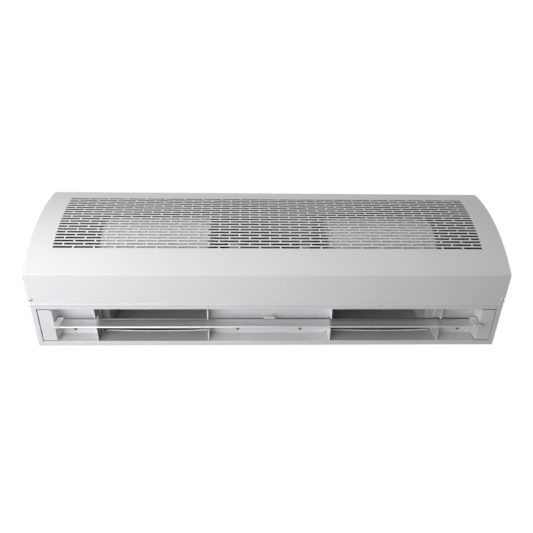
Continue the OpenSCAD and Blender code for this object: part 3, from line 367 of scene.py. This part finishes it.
def gridPatch(points, wrapRows=False, wrapColumns=False):
    # a grid of points (rows, columns, 3) as points and four-sided faces; a wrap joins last to first
    rows, columns = points.shape[:2]
    index = np.arange(rows * columns).reshape(rows, columns)
    if wrapRows:
        index = np.vstack([index, index[:1]])
    if wrapColumns:
        index = np.hstack([index, index[:, :1]])
    faces = np.stack([index[:-1, :-1], index[1:, :-1], index[1:, 1:], index[:-1, 1:]], -1)
    return points.reshape(-1, 3), faces.reshape(-1, 4).tolist()


def joinPatches(patches):
    # patches one after another, each one's faces counted on from the last one's points
    points, faces, count = [], [], 0
    for patchPoints, patchFaces in patches:
        faces += [[corner + count for corner in face] for face in patchFaces]
        points.append(patchPoints)
        count += len(patchPoints)
    return np.concatenate(points), faces


def makePiece(name, patches, finish, body, replaced=(), sharpAngle=35):
    # welds the patches into one closed mesh in metres, points its faces outwards and sets its edges
    weldGap, thinEdge = 0.000002, 0.000001
    points, faces = joinPatches(patches)
    mesh = bpy.data.meshes.new(name)
    mesh.from_pydata((points * mm + unitShift).tolist(), [], faces)
    work = bmesh.new()
    work.from_mesh(mesh)
    bmesh.ops.remove_doubles(work, verts=work.verts, dist=weldGap)
    bmesh.ops.dissolve_degenerate(work, edges=work.edges, dist=thinEdge)
    bmesh.ops.recalc_face_normals(work, faces=work.faces)
    work.to_mesh(mesh)
    work.free()
    mesh.shade_smooth()
    mesh.set_sharp_from_angle(angle=math.radians(sharpAngle))
    mesh.materials.append(finish)
    piece = bpy.data.objects.new(name, mesh)
    bpy.context.scene.collection.objects.link(piece)
    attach(piece, body)
    if replaced:
        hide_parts(*replaced)


def basisFor(axis):
    # three unit directions at right angles, the last one along the axis
    w = np.asarray(axis, float) / np.linalg.norm(axis)
    u = np.cross([0, 1, 0] if abs(w[1]) < 0.9 else [1, 0, 0], w)
    u /= np.linalg.norm(u)
    return np.stack([u, np.cross(w, u), w])


def fullTurn(steps):
    # equal angles once round, the last one a step short of the first
    return np.linspace(0, 2 * np.pi, steps, endpoint=False)


def turned(profile, centre, axis, steps=64, closed=False):
    # a profile of (radius, height) points turned once round the axis; closed joins its two ends
    radius, height = np.asarray(profile, float).T
    angle = fullTurn(steps)
    local = np.stack([radius[:, None] * np.cos(angle), radius[:, None] * np.sin(angle),
                      np.broadcast_to(height[:, None], (len(radius), steps))], -1)
    return gridPatch(local @ basisFor(axis) + np.asarray(centre, float), closed, True)


def roundedOutline(corners, radius, steps=6):
    # every corner becomes an arc that touches both of its sides; one radius, or one for each corner
    here = np.asarray(corners, float)
    radius = np.broadcast_to(np.asarray(radius, float), len(here))[:, None]
    back, ahead = np.roll(here, 1, 0) - here, np.roll(here, -1, 0) - here
    back /= np.linalg.norm(back, axis=1, keepdims=True)
    ahead /= np.linalg.norm(ahead, axis=1, keepdims=True)
    half = np.arccos(np.clip((back * ahead).sum(1, keepdims=True), -1, 1)) / 2
    middle = (back + ahead) / np.linalg.norm(back + ahead, axis=1, keepdims=True)
    centre = here + middle * radius / np.sin(half)
    first = here + back * radius / np.tan(half) - centre
    last = here + ahead * radius / np.tan(half) - centre
    sweep = (np.pi - 2 * half)[:, None]
    t = np.linspace(0, 1, steps)[None, :, None]
    curve = (np.sin((1 - t) * sweep) * first[:, None] + np.sin(t * sweep) * last[:, None]) / np.sin(sweep)
    return (centre[:, None] + curve).reshape(-1, 2)


def insetOutline(outline, amount):
    # every point of a closed outline moves inwards at right angles to it
    along = np.roll(outline, -1, 0) - np.roll(outline, 1, 0)
    along /= np.maximum(np.linalg.norm(along, axis=1, keepdims=True), 1e-9)
    area = np.sum(outline[:, 0] * np.roll(outline[:, 1], -1) - np.roll(outline[:, 0], -1) * outline[:, 1])
    return outline + np.sign(area) * amount * np.stack([-along[:, 1], along[:, 0]], 1)


def ringLoft(rings):
    # closed rings of points, one after another, with a flat face over the first and the last
    points, faces = gridPatch(rings, False, True)
    count = rings.shape[1]
    faces.append(list(range(count)))
    faces.append(list(range((len(rings) - 1) * count, len(rings) * count)))
    return points, faces


def prism(outline, start, end, edge, placeSection, edgeSteps=4):
    # an outline carried along a line, with a round edge at both ends; placeSection gives a section's points
    a = np.linspace(0, np.pi / 2, edgeSteps)
    stations = np.concatenate([start + edge * (1 - np.sin(a)), end - edge * (1 - np.sin(a[::-1]))])
    insets = np.concatenate([edge * (1 - np.cos(a)), edge * (1 - np.cos(a[::-1]))])
    order = np.argsort(stations, kind="stable")
    rings = np.stack([placeSection(insetOutline(outline, insets[i]), stations[i]) for i in order])
    return ringLoft(rings)


def alongX(section, x):
    # a section's (Y, Z) points at one place along X
    return np.column_stack([np.full(len(section), x), section])


def alongZ(section, z):
    # a section's (X, Y) points at one place along Z
    return np.column_stack([section, np.full(len(section), z)])


def nodeBox(name):
    # a node's lowest and highest corners in millimetres, measured from the rear panel's underside
    low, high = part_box(name)
    return (np.array(low) - unitShift) / mm, (np.array(high) - unitShift) / mm


def splitAt(values, gap):
    # labels values by the runs they form when sorted, a new run after each gap
    order = np.argsort(values)
    steps = np.concatenate([[0], np.cumsum(np.diff(values[order]) > gap)])
    labels = np.empty(len(values), int)
    labels[order] = steps
    return labels


def looseSolids(name, gap=12):
    # the box of each solid of a node that holds several, told apart by the gaps between them
    points = np.empty(3 * len(nodes[name].data.vertices))
    nodes[name].data.vertices.foreach_get("co", points)
    points = (points.reshape(-1, 3) - unitShift) / mm
    key = np.stack([splitAt(points[:, k], gap) for k in range(3)], 1)
    _, label = np.unique(key, axis=0, return_inverse=True)
    label = label.ravel()
    groups = [points[label == k] for k in range(label.max() + 1)]
    return [(group.min(0), group.max(0)) for group in groups]


def hungOutline(bead, sheet, edge, reach, grooves=(), grooveDepth=0.0, grooveWidth=1.0,
                arcSteps=14, webSteps=72):
    # half thickness over height: a round bead about the pivot, a flat web, a round lower edge;
    # each groove is a smooth dip in the web's front, with the shape of a bell
    beadSweep, edgeSweep = 2.4, 1.2   # radians, past the bead's top and above the lower edge's middle
    top = bead / 2 * np.cos(np.linspace(0, beadSweep, arcSteps))
    low = -reach + edge / 2 - edge / 2 * np.sin(np.linspace(-edgeSweep, np.pi / 2, arcSteps))
    z = np.concatenate([top, np.linspace(top[-1], low[0], webSteps)[1:-1], low])
    half = np.sqrt(np.clip((bead / 2) ** 2 - z ** 2, 0, None))
    half = np.maximum(half, np.sqrt(np.clip((edge / 2) ** 2 - (z + reach - edge / 2) ** 2, 0, None)))
    half = np.where((z < 0) & (z > -reach + edge / 2), np.maximum(half, sheet / 2), half)
    dips = sum((grooveDepth * np.exp(-((z + g * reach) / grooveWidth) ** 2) for g in grooves), 0 * z)
    return np.concatenate([np.column_stack([half, z]), np.column_stack([dips - half, z])[::-1]])


vaneLook = {"bead": 5.0, "sheet": 2.0, "edge": 3.0, "reach": 28.5, "endEdge": 0.15,
            "grooves": (0.46, 0.56), "grooveDepth": 0.28, "grooveWidth": 0.35}
capLook = {"bead": 8.0, "sheet": 4.8, "edge": 5.4, "reach": 29.5, "slip": 0.1, "mouthEdge": 0.3,
           "endEdge": 0.7, "edgeSteps": 5, "grip": 6.75,
           "pinRadius": 2.5, "pinLength": 7.5, "pinSink": 0.5, "pinBevel": 0.6, "pinColumns": 40}
sides = (("left", -1), ("right", 1))
pivot, shaftCentre = ((place - unitShift)[1:] / mm for place in (vanePlace, rotorPlace))   # Y and Z


def vaneBlade(look):
    # the hung outline carried along X, with small round edges at its ends
    low, high = nodeBox("vane_blade")
    outline = hungOutline(look["bead"], look["sheet"], look["edge"], look["reach"],
                          look["grooves"], look["grooveDepth"], look["grooveWidth"]) + pivot
    patch = prism(outline, low[0], high[0], look["endEdge"], alongX)
    makePiece("vaneBlade", [patch], vaneMetal, "vane", ["vane_blade"], 50)


def vaneCap(side, sign, look, blade):
    # from the pocket's floor out to its mouth, round the mouth's edge and along to the rounded end
    low, high = nodeBox("vane_cap_" + side)
    start, end = sorted([sign * low[0], sign * high[0]])
    end -= look["pinLength"]
    skin = hungOutline(look["bead"], look["sheet"], look["edge"], look["reach"])
    pocket = hungOutline(blade["bead"], blade["sheet"], blade["edge"], blade["reach"])
    pocket = insetOutline(pocket, -look["slip"])
    a = np.linspace(0, np.pi / 2, look["edgeSteps"])
    mouth, tip = look["mouthEdge"], look["endEdge"]
    stations = [(pocket, 0, start + look["grip"]), (pocket, 0, start)]
    stations += [(skin, mouth * (1 - math.sin(t)), start + mouth * (1 - math.cos(t))) for t in a]
    stations += [(skin, tip * (1 - math.cos(t)), end - tip * (1 - math.sin(t))) for t in a]
    rings = np.stack([alongX(insetOutline(line, inset) + pivot, sign * x) for line, inset, x in stations])
    r, length = look["pinRadius"], look["pinLength"]
    sink, bevel = look["pinSink"], look["pinBevel"]
    pin = turned([(0, -sink), (r, -sink), (r, length - bevel), (r - bevel, length), (0, length)],
                 (sign * end, *pivot), (sign, 0, 0), look["pinColumns"])
    makePiece("vaneCap" + side.capitalize(), [ringLoft(rings), pin], creamPlastic, "vane",
              ["vane_cap_" + side], 40)


hangerLook = {"bore": 2.56, "ring": 4.6, "rear": -22, "front": 220, "stemFront": 0.5, "stemRear": 5.1,
              "footRear": 9.5, "footSheet": 2.6, "edge": 0.5, "base": 29,
              "stemAngle": 6, "stemBends": (0.6, 1.8, 1),
              "outerSteps": 24, "innerSteps": 40, "lipSteps": 9, "rearSteps": 6,
              "rounds": (0, 0.4, 0.9, 0.5, 0.2, 0.4, 0), "pegSetback": 3, "pegColumns": 32,
              "peg": ((0, -1), (1.7, -1), (1.7, 4.6), (1.2, 5.2), (0, 5.2))}


def arc(radius, start, end, steps):
    # points on a circle about the pivot between two angles in degrees, as (Y, Z)
    angle = np.radians(np.linspace(start, end, steps))
    return radius * np.column_stack([np.cos(angle), np.sin(angle)])


def vaneHanger(look):
    # a clip round the bead: outer arc, round lip, inner arc back, round lip, then up to the foot
    low, high = nodeBox("vane_hanger")
    footTop = look["base"] - pivot[1]
    bore, ring = look["bore"], look["ring"]
    lipRadius, lipPlace = (ring - bore) / 2, (ring + bore) / 2
    lipAngle = np.degrees(lipRadius / lipPlace)
    front, rear = look["front"] - lipAngle, look["rear"] + lipAngle
    frontLip = arc(lipRadius, front, front + 180, look["lipSteps"]) + arc(lipPlace, front, front, 1)
    rearLip = arc(lipRadius, rear - 180, rear, look["lipSteps"]) + arc(lipPlace, rear, rear, 1)
    top = math.degrees(math.acos(look["stemFront"] / ring))
    stem, sole = look["stemRear"], footTop - look["footSheet"]
    bendLow, bendHigh, rise = look["stemBends"]
    foot = roundedOutline([(ring, bendLow), (stem, bendHigh), (stem, sole), (look["footRear"], sole),
                           (look["footRear"], footTop), (look["stemFront"], footTop),
                           (look["stemFront"], ring + rise)], look["rounds"], 5)
    outline = np.concatenate([arc(ring, top, front, look["outerSteps"]), frontLip,
                              arc(bore, front, rear, look["innerSteps"]), rearLip,
                              arc(ring, rear, look["stemAngle"], look["rearSteps"]), foot]) + pivot
    body = prism(outline, low[0], high[0], look["edge"], alongX)
    pegPlace = (0, pivot[0] + look["pegSetback"], look["base"])
    peg = turned(look["peg"], pegPlace, (0, 0, 1), look["pegColumns"])
    makePiece("vaneHanger", [body, peg], creamPlastic, "casing", ["vane_hanger"], 40)


hemLook = {"radius": 1.4, "wallY": -9.6, "lowest": 34.5, "rise": 0.9, "bow": 3.5, "middle": 226.5,
           "half": 104.0, "bowHalf": 108, "endRound": 1.2, "steps": 60, "columns": 14}


def tube(path, radius, columns):
    # a circle of the given radius at every point of a path, square to its direction
    along = np.gradient(path, axis=0)
    along /= np.linalg.norm(along, axis=1, keepdims=True)
    skew = [0.61, 0.37, 0.70]   # no path here runs along it
    side = np.cross(along, skew)
    side /= np.linalg.norm(side, axis=1, keepdims=True)
    up = np.cross(along, side)
    angle = fullTurn(columns)[None, :, None]
    ring = side[:, None] * np.cos(angle) + up[:, None] * np.sin(angle)
    return path[:, None] + ring * np.broadcast_to(radius, len(path))[:, None, None]


def rearHem(look):
    # a rolled edge on the tray's rear wall behind each blower: a tube along the edge's bow,
    # which rises with the square of the distance from the bay's middle
    patches = []
    x = np.linspace(-look["half"], look["half"], look["steps"])
    z = look["lowest"] + look["rise"] + look["bow"] * (x / look["bowHalf"]) ** 2
    radius = look["radius"] * np.sqrt(np.clip((look["half"] - abs(x)) / look["endRound"], 0.05, 1))
    for _, sign in sides:
        path = np.column_stack([sign * (look["middle"] + x), np.full_like(x, look["wallY"]), z])
        patches.append(ringLoft(tube(path, radius, look["columns"])))
    makePiece("rearHem", patches, hemHighlight, "casing", (), 60)


screwLook = {"head": 3.6, "height": 2.2, "shank": 1.9, "length": 8.0, "pitch": 1.5, "thread": 0.3,
             "slot": 1.0, "cross": 4.6, "depth": 1.2, "taper": 2.0, "bevel": 0.25,
             "domePowers": (3.2, 0.45), "columns": 64, "headRows": 22, "shankRows": 44}


def crossScrew(centre, axis, look):
    # head height over a polar grid: a flat dome less a cross; the shank's radius winds down as a helix
    angle = fullTurn(look["columns"])
    headRadius = look["head"] * np.sin(np.linspace(0, np.pi / 2, look["headRows"]))[:, None]
    x, y = headRadius * np.cos(angle), headRadius * np.sin(angle)
    armAcross = np.clip((look["slot"] / 2 - np.minimum(abs(x), abs(y))) / look["bevel"], 0, 1)
    armAlong = np.clip((look["cross"] / 2 - np.maximum(abs(x), abs(y))) / (2 * look["bevel"]), 0, 1)
    flatten, steepen = look["domePowers"]
    dome = look["height"] * (1 - (headRadius / look["head"]) ** flatten) ** steepen
    headHeight = dome - look["depth"] * armAcross * armAlong
    depth = np.linspace(0, look["length"], look["shankRows"])[:, None]
    wave = abs(((depth / look["pitch"] - angle / (2 * np.pi)) % 1) * 2 - 1)
    point = np.clip((look["length"] - depth) / look["taper"], 0.05, 1)
    shank = (look["shank"] - look["thread"] * wave) * point
    radius = np.concatenate([headRadius + 0 * angle, shank])
    height = np.concatenate([headHeight, -depth + 0 * angle])
    local = np.stack([radius * np.cos(angle), radius * np.sin(angle), height], -1)
    tip = np.broadcast_to([0.0, 0.0, -look["length"]], (1, look["columns"], 3))
    grid = np.concatenate([local, tip]) @ basisFor(axis) + np.asarray(centre, float)
    return gridPatch(grid, False, True)


def screwGroup(name, node, finish, headAxis, look):
    # one screw for each solid of the node, its head's underside where the solid's head begins
    patches = []
    for low, high in looseSolids(node):
        axis = np.asarray(headAxis if not callable(headAxis) else headAxis(low), float)
        middle = (low + high) / 2
        headEnd = np.where(axis > 0, high, low)
        centre = np.where(axis != 0, headEnd - axis * look["height"], middle)
        patches.append(crossScrew(centre, axis, look))
    print(name, len(patches))
    makePiece(name, patches, finish, "casing", [node], 40)


hexLook = {"columns": 48, "rows": 12, "bevel": 0.35, "bevelFrom": 0.94, "slotDepth": 0.8, "slotBevel": 0.15}


def hexHead(centre, axis, corner, height, slot=0.0, look=hexLook):
    # a hexagon over a polar grid, bevelled beyond its flats, with or without a slot across;
    # a side lies at the flat's distance over the cosine of the angle from the side's middle
    angle = fullTurn(look["columns"])
    flat = corner * math.cos(math.pi / 6)
    side = flat / np.cos(angle % (np.pi / 3) - np.pi / 6)
    radius = np.linspace(0, 1, look["rows"])[:, None] * side
    bevelStart = look["bevelFrom"] * flat
    top = height - look["bevel"] * np.clip((radius - bevelStart) / (corner - bevelStart), 0, 1)
    if slot:
        wall = np.clip((slot / 2 - abs(radius * np.sin(angle))) / look["slotBevel"], 0, 1)
        top = top - look["slotDepth"] * wall
    radius = np.concatenate([radius, side[None], 0 * side[None]])
    top = np.concatenate([top, 0 * side[None], 0 * side[None]])
    local = np.stack([radius * np.cos(angle), radius * np.sin(angle), top], -1)
    return gridPatch(local @ basisFor(axis) + np.asarray(centre, float), False, True)


earthLook = {"head": 4.6, "slot": 0.9, "washerHole": 2.2, "washer": 5.0, "washerSheet": 1.0,
             "washerRound": 0.2, "columns": 48}


def earthScrew(look):
    # a slotted hexagon head over a washer, whose rounded section is turned about the axis
    low, high = nodeBox("earth_screw")
    sheet, hole, rim = look["washerSheet"], look["washerHole"], look["washer"]
    centre = np.array([(low[0] + high[0]) / 2, high[1] - sheet, (low[2] + high[2]) / 2])
    section = roundedOutline([(hole, 0), (rim, 0), (rim, sheet), (hole, sheet)], look["washerRound"], 3)
    washer = turned(section, centre + (0, sheet, 0), (0, -1, 0), look["columns"], True)
    head = hexHead(centre, (0, -1, 0), look["head"], high[1] - low[1] - sheet, look["slot"])
    makePiece("earthScrew", [washer, head], screwBrass, "casing", ["earth_screw"], 30)


grommetLook = {"bore": 4.5, "waist": 7.98, "flange": 11.0, "lip": 2.0,
               "rounds": (1.2, 1.1, 0.4, 0.2, 0.2, 0.4, 1.1, 1.2), "columns": 72}


def cableGrommet(look):
    # a waisted section with rounded flanges, turned about the bore's axis
    low, high = nodeBox("cable_grommet")
    top = high[2] - low[2]
    bore, waist, flange, lip = look["bore"], look["waist"], look["flange"], look["lip"]
    outline = roundedOutline([(bore, 0), (flange, 0), (flange, lip), (waist, lip),
                              (waist, top - lip), (flange, top - lip), (flange, top), (bore, top)],
                             look["rounds"], 6)
    centre = ((low[0] + high[0]) / 2, (low[1] + high[1]) / 2, low[2])
    patch = turned(outline, centre, (0, 0, 1), look["columns"], True)
    makePiece("cableGrommet", [patch], blackRubber, "casing", ["cable_grommet"], 50)


capacitorLook = {"radius": 17.0, "length": 56.0, "rim": 1.4, "recess": 1.8, "columns": 72,
                 "beadPlace": 5.5, "beadHalf": 1.5, "beadDepth": 0.7,
                 "rounds": (0, 2.5, 0.6, 0.8, 0.6, 0.6, 0.6, 0.4, 0),
                 "tabHalf": 3.0, "tabSheet": 0.8, "tabSpread": 5.0, "tabReach": 9.0, "tabSink": 0.5,
                 "tabEdge": 0.1, "tabRounds": (0.1, 1.6, 1.6, 0.1)}


def motorCapacitor(look):
    # a can with a rounded base, a rolled bead near its top and a recessed lid that carries two tabs
    low, high = nodeBox("capacitor")
    r, length, rim = look["radius"], look["length"], look["rim"]
    lid = length - look["recess"]
    bead, beadHalf = length - look["beadPlace"], look["beadHalf"]
    line = roundedOutline([(0, 0), (r, 0), (r, bead - beadHalf), (r - look["beadDepth"], bead),
                           (r, bead + beadHalf), (r, length), (r - rim, length), (r - rim, lid), (0, lid)],
                          look["rounds"], 6)
    centre = np.array([low[0], (low[1] + high[1]) / 2, (low[2] + high[2]) / 2])
    patches = [turned(line, centre, (1, 0, 0), look["columns"])]
    half, sheet, edge = look["tabHalf"], look["tabSheet"], look["tabEdge"]
    root, tip = lid - look["tabSink"], lid + look["tabReach"]
    for shift in (-look["tabSpread"], look["tabSpread"]):
        outline = roundedOutline([(root, -half), (tip, -half), (tip, half), (root, half)],
                                 look["tabRounds"], 5) + (centre[0], centre[1] + shift)
        patches.append(prism(outline, centre[2] - sheet / 2, centre[2] + sheet / 2, edge, alongZ, 2))
    makePiece("motorCapacitor", patches, whitePlastic, "casing", ["capacitor"], 35)


leadLook = {"radius": 3.0, "rib": 0.45, "pitch": 2.2, "perRib": 8, "bend": 7.0, "columns": 24}


def sleevePath(points, bend, spacing, bendSteps=24):
    # straight runs joined by quarter bends; the bends are parabolas between their two straight ends
    points = np.asarray(points, float)
    pieces = [points[0]]
    for before, corner, after in zip(points[:-2], points[1:-1], points[2:]):
        into = (before - corner) / np.linalg.norm(before - corner) * bend
        out = (after - corner) / np.linalg.norm(after - corner) * bend
        t = np.linspace(0, 1, bendSteps)[:, None]
        pieces.append(corner + into * (1 - t) ** 2 + out * t ** 2)
    path = np.concatenate([np.atleast_2d(p) for p in pieces] + [points[-1:]])
    travel = np.concatenate([[0], np.cumsum(np.linalg.norm(np.diff(path, axis=0), axis=1))])
    s = np.arange(0, travel[-1], spacing)
    return np.stack([np.interp(s, travel, path[:, k]) for k in range(3)], 1), s


def motorLead(look):
    # a ribbed sleeve: the tube's radius rises and falls as a cosine along its run
    low, high = nodeBox("motor_lead")
    r = look["radius"]
    start = np.array([low[0] + r, high[1] - r, low[2]])
    route = [start, (start[0], start[1], high[2] - r), (high[0] - r, start[1], high[2] - r),
             (high[0] - r, low[1], high[2] - r)]
    path, s = sleevePath(route, look["bend"], look["pitch"] / look["perRib"])
    radius = r - look["rib"] * (0.5 + 0.5 * np.cos(2 * np.pi * s / look["pitch"]))
    makePiece("motorLead", [ringLoft(tube(path, radius, look["columns"]))], leadSleeve, "casing",
              ["motor_lead"], 60)


windingLook = {"ringRadius": 35.0, "halfDepth": 5.4, "halfLength": 7.4, "lobes": 18, "bulge": 0.07,
               "square": 0.75, "ringSteps": 216, "sectionSteps": 24, "lacingTurns": 24, "lacing": 0.55,
               "lacingLift": 0.2, "lacingSteps": 24, "lacingColumns": 6}


def windingSection(ringAngle, sectionAngle, look, grow=0.0):
    # radius and place along the shaft of a rounded bundle that swells a little at each coil;
    # powers of the cosine and sine make the section squarer than a circle
    swell = 1 + look["bulge"] * abs(np.sin(look["lobes"] / 2 * ringAngle))
    c, s = (np.sign(w) * abs(w) ** look["square"] for w in (np.cos(sectionAngle), np.sin(sectionAngle)))
    radius = look["ringRadius"] + (look["halfDepth"] * swell + grow) * c
    return radius, (look["halfLength"] * swell ** 0.5 + grow) * s


def aboutShaft(along, radius, angle):
    # points given by place along the shaft, distance from it and angle round it
    y, z = shaftCentre[0] + radius * np.cos(angle), shaftCentre[1] + radius * np.sin(angle)
    return np.stack([along, y, z], -1)


def motorWindings(look):
    # the bundle's section swept round the shaft, and a cord that winds round it as it goes
    bundles, lacings = [], []
    ring, section = np.meshgrid(fullTurn(look["ringSteps"]), fullTurn(look["sectionSteps"]), indexing="ij")
    turns = look["lacingTurns"]
    t = fullTurn(look["lacingSteps"] * turns)
    for low, high in looseSolids("stator_windings", 30):
        middle = (low[0] + high[0]) / 2
        radius, place = windingSection(ring, section, look)
        bundles.append(gridPatch(aboutShaft(middle + place, radius, ring), True, True))
        radius, place = windingSection(t, turns * t, look, look["lacingLift"])
        cord = tube(aboutShaft(middle + place, radius, t), look["lacing"], look["lacingColumns"])
        lacings.append(gridPatch(cord, True, True))
    makePiece("motorWindings", bundles, windingCopper, "casing", ["stator_windings"], 60)
    makePiece("windingLacing", lacings, ivoryPlastic, "casing", (), 60)


def roundShaft(look, face):
    # places at equal angles on a circle about the shaft
    turns = np.radians(np.arange(look["count"]) * 360 / look["count"] + look["firstAngle"])
    return aboutShaft(np.full(look["count"], float(face)), look["circle"], turns)


boltLook = {"circle": 40.0, "corner": 3.9, "height": 2.5, "count": 4, "firstAngle": 45, "face": 57.0}


def motorBolts(look):
    # hexagon heads of the bolts that draw the two end shields together
    patches = [hexHead(centre, (sign, 0, 0), look["corner"], look["height"])
               for _, sign in sides for centre in roundShaft(look, sign * look["face"])]
    makePiece("motorBolts", patches, screwZinc, "casing", (), 30)


rivetLook = {"circle": 66.0, "radius": 2.3, "height": 1.1, "sink": 0.3, "count": 8, "firstAngle": 22.5,
             "columns": 14, "domeSteps": 5}


def inletRivets(look):
    # domed rivet heads round each inlet ring's flange: a quarter of an ellipse turned about its axis
    patches = []
    t = np.linspace(0, np.pi / 2, look["domeSteps"])
    dome = np.column_stack([look["radius"] * np.cos(t), look["height"] * np.sin(t)])
    profile = np.concatenate([[(0, -look["sink"]), (look["radius"], -look["sink"])], dome])
    for side, sign in sides:
        for place, outward in (("outer", sign), ("inner", -sign)):
            low, high = nodeBox("inlet_ring_" + side + "_" + place)
            face = high[0] if outward > 0 else low[0]
            patches += [turned(profile, centre, (outward, 0, 0), look["columns"])
                        for centre in roundShaft(look, face)]
    makePiece("inletRivets", patches, screwZinc, "casing", (), 50)


vaneBlade(vaneLook)
for side, sign in sides:
    vaneCap(side, sign, capLook, vaneLook)
vaneHanger(hangerLook)
rearHem(hemLook)
print("vane, caps and hanger made")
screwGroup("casingScrews", "casing_screws", screwZinc,
           lambda low: (0, 0, 1) if low[2] > 100 else (0, 0, -1), screwLook)
screwGroup("trayScrews", "tray_screws", screwBrass, (0, 0, -1), screwLook)
screwGroup("strapScrews", "strap_screws", screwZinc, (0, 0, 1), screwLook)
earthScrew(earthLook)
print("screws made")
cableGrommet(grommetLook)
motorCapacitor(capacitorLook)
motorLead(leadLook)
motorWindings(windingLook)
motorBolts(boltLook)
inletRivets(rivetLook)
print("motor, electrics and rivets made")


stageLook = {"floorDrop": 2.2, "floorSize": 14.0, "floorColour": (0.86, 0.86, 0.87), "floorRough": 0.9,
             "floorBounce": (0.24, 0.24, 0.24), "floorGlow": 0.62,
             "sky": 0.06, "skyColour": (0.96, 0.97, 1.0)}


def plainFloor(look):
    # a flat grid well below the unit, pale, and white to the camera
    side = np.linspace(-look["floorSize"] / 2, look["floorSize"] / 2, 5)
    u, v = np.meshgrid(side, side, indexing="ij")
    points, faces = gridPatch(np.stack([u, v, np.full_like(u, -look["floorDrop"])], -1))
    mesh = bpy.data.meshes.new("floor")
    mesh.from_pydata(points.tolist(), [], faces)
    floor = bpy.data.objects.new("floor", mesh)
    bpy.context.scene.collection.objects.link(floor)
    # pale paint that keeps the object's shadow, lifted for the camera by a faint glow of its own;
    # it throws only a little light back at the object
    material, tree, shader = newMaterial("floorPale")
    shader.inputs["Roughness"].default_value = look["floorRough"]
    shader.inputs["Emission Color"].default_value = (*look["floorColour"], 1)
    path = addNode(tree, "ShaderNodeLightPath")
    paint = mixColour(tree, path.outputs["Is Diffuse Ray"], look["floorColour"], look["floorBounce"])
    tree.links.new(paint, shader.inputs["Base Color"])
    glow = ramp(tree, path.outputs["Is Camera Ray"], 0, 1, 0, look["floorGlow"])
    tree.links.new(glow, shader.inputs["Emission Strength"])
    mesh.materials.append(material)


def whiteBackdrop(look):
    # camera, mirror-like and clear surfaces see white; everything else gets the soft sky
    world = bpy.data.worlds.new("studio")
    bpy.context.scene.world = world
    world.use_nodes = True
    tree = world.node_tree
    soft = tree.nodes["Background"]
    soft.inputs["Color"].default_value = (*look["skyColour"], 1)
    soft.inputs["Strength"].default_value = look["sky"]
    white = addNode(tree, "ShaderNodeBackground", Strength=1.0)
    white.inputs["Color"].default_value = (1, 1, 1, 1)
    path = addNode(tree, "ShaderNodeLightPath")
    pick = addNode(tree, "ShaderNodeMixShader")
    rays = ("Camera", "Glossy", "Transmission")
    seen = largest(tree, *(path.outputs["Is " + ray + " Ray"] for ray in rays))
    tree.links.new(seen, pick.inputs["Fac"])
    tree.links.new(soft.outputs["Background"], pick.inputs[1])
    tree.links.new(white.outputs["Background"], pick.inputs[2])
    tree.links.new(pick.outputs["Shader"], tree.nodes["World Output"].inputs["Surface"])


def softLamp(name, place, aim, size, power, colour):
    # a square area light that looks at the aim
    lamp = bpy.data.lights.new(name, "AREA")
    lamp.shape = "RECTANGLE"
    lamp.size = lamp.size_y = size
    lamp.energy = power
    lamp.color = colour
    holder = bpy.data.objects.new(name, lamp)
    bpy.context.scene.collection.objects.link(holder)
    away = Vector(place) - Vector(aim)
    holder.matrix_world = Matrix.Translation(place) @ away.to_track_quat("Z", "Y").to_matrix().to_4x4()


cameraLook = {"place": (-0.038083, -0.602070, -0.805287), "right": (0.99946199, -0.01733513, -0.0278428),
              "up": (-0.00229674, -0.88381754, 0.46782612), "sensor": 36, "focal": 500.974, "frame": 533,
              "clip": (0.01, 50)}


def studioCamera(look):
    # the turn's columns are the camera's right, up and backward directions; focal and frame are in pixels
    right, up = Vector(look["right"]).normalized(), Vector(look["up"]).normalized()
    back = right.cross(up).normalized()
    up = back.cross(right)
    data = bpy.data.cameras.new("studioCamera")
    data.lens = look["sensor"] * look["focal"] / look["frame"]
    data.sensor_width = look["sensor"]
    data.sensor_fit = "HORIZONTAL"
    data.clip_start, data.clip_end = look["clip"]
    camera = bpy.data.objects.new("studioCamera", data)
    bpy.context.scene.collection.objects.link(camera)
    turn = Matrix((right, up, back)).transposed().to_4x4()
    camera.matrix_world = Matrix.Translation(Vector(look["place"]) + Vector(unitShift)) @ turn
    bpy.context.scene.camera = camera


aim = (0, -0.1, 0)
lampLook = {   # place, size in metres, power in watts, colour
    "lowLamp": ((-0.7, -0.45, -1.1), 1.1, 13.3, (1.0, 0.98, 1.0)),
    "nearLamp": ((-0.4, -1.3, -0.9), 0.9, 2.2, (1.0, 0.98, 1.0)),
    "faceLamp": ((-1.0, -1.6, 0.3), 1.2, 6.2, (0.985, 1.0, 0.98)),
    "frontLamp": ((0.2, -1.8, 0.6), 1.4, 5.0, (0.98, 1.0, 0.985)),
    "sideLamp": ((-1.2, -1.0, -0.5), 1.0, 1.6, (1.0, 0.96, 1.0)),
    "leftLamp": ((-1.4, -0.25, -0.8), 0.8, 2.0, (1.0, 0.93, 1.0)),
    "rearLamp": ((0.7, 2.0, 2.3), 1.8, 78, (1, 1, 1)),
    "endLamp": ((2.7, 0.9, 0.4), 1.2, 32, (1, 1, 1)),
}
plainFloor(stageLook)
whiteBackdrop(stageLook)
studioCamera(cameraLook)
for name, (place, size, power, colour) in lampLook.items():
    softLamp(name, place, aim, size, power, colour)
bpy.context.scene.view_settings.view_transform = "Standard"
print("stage, lamps and camera ready")
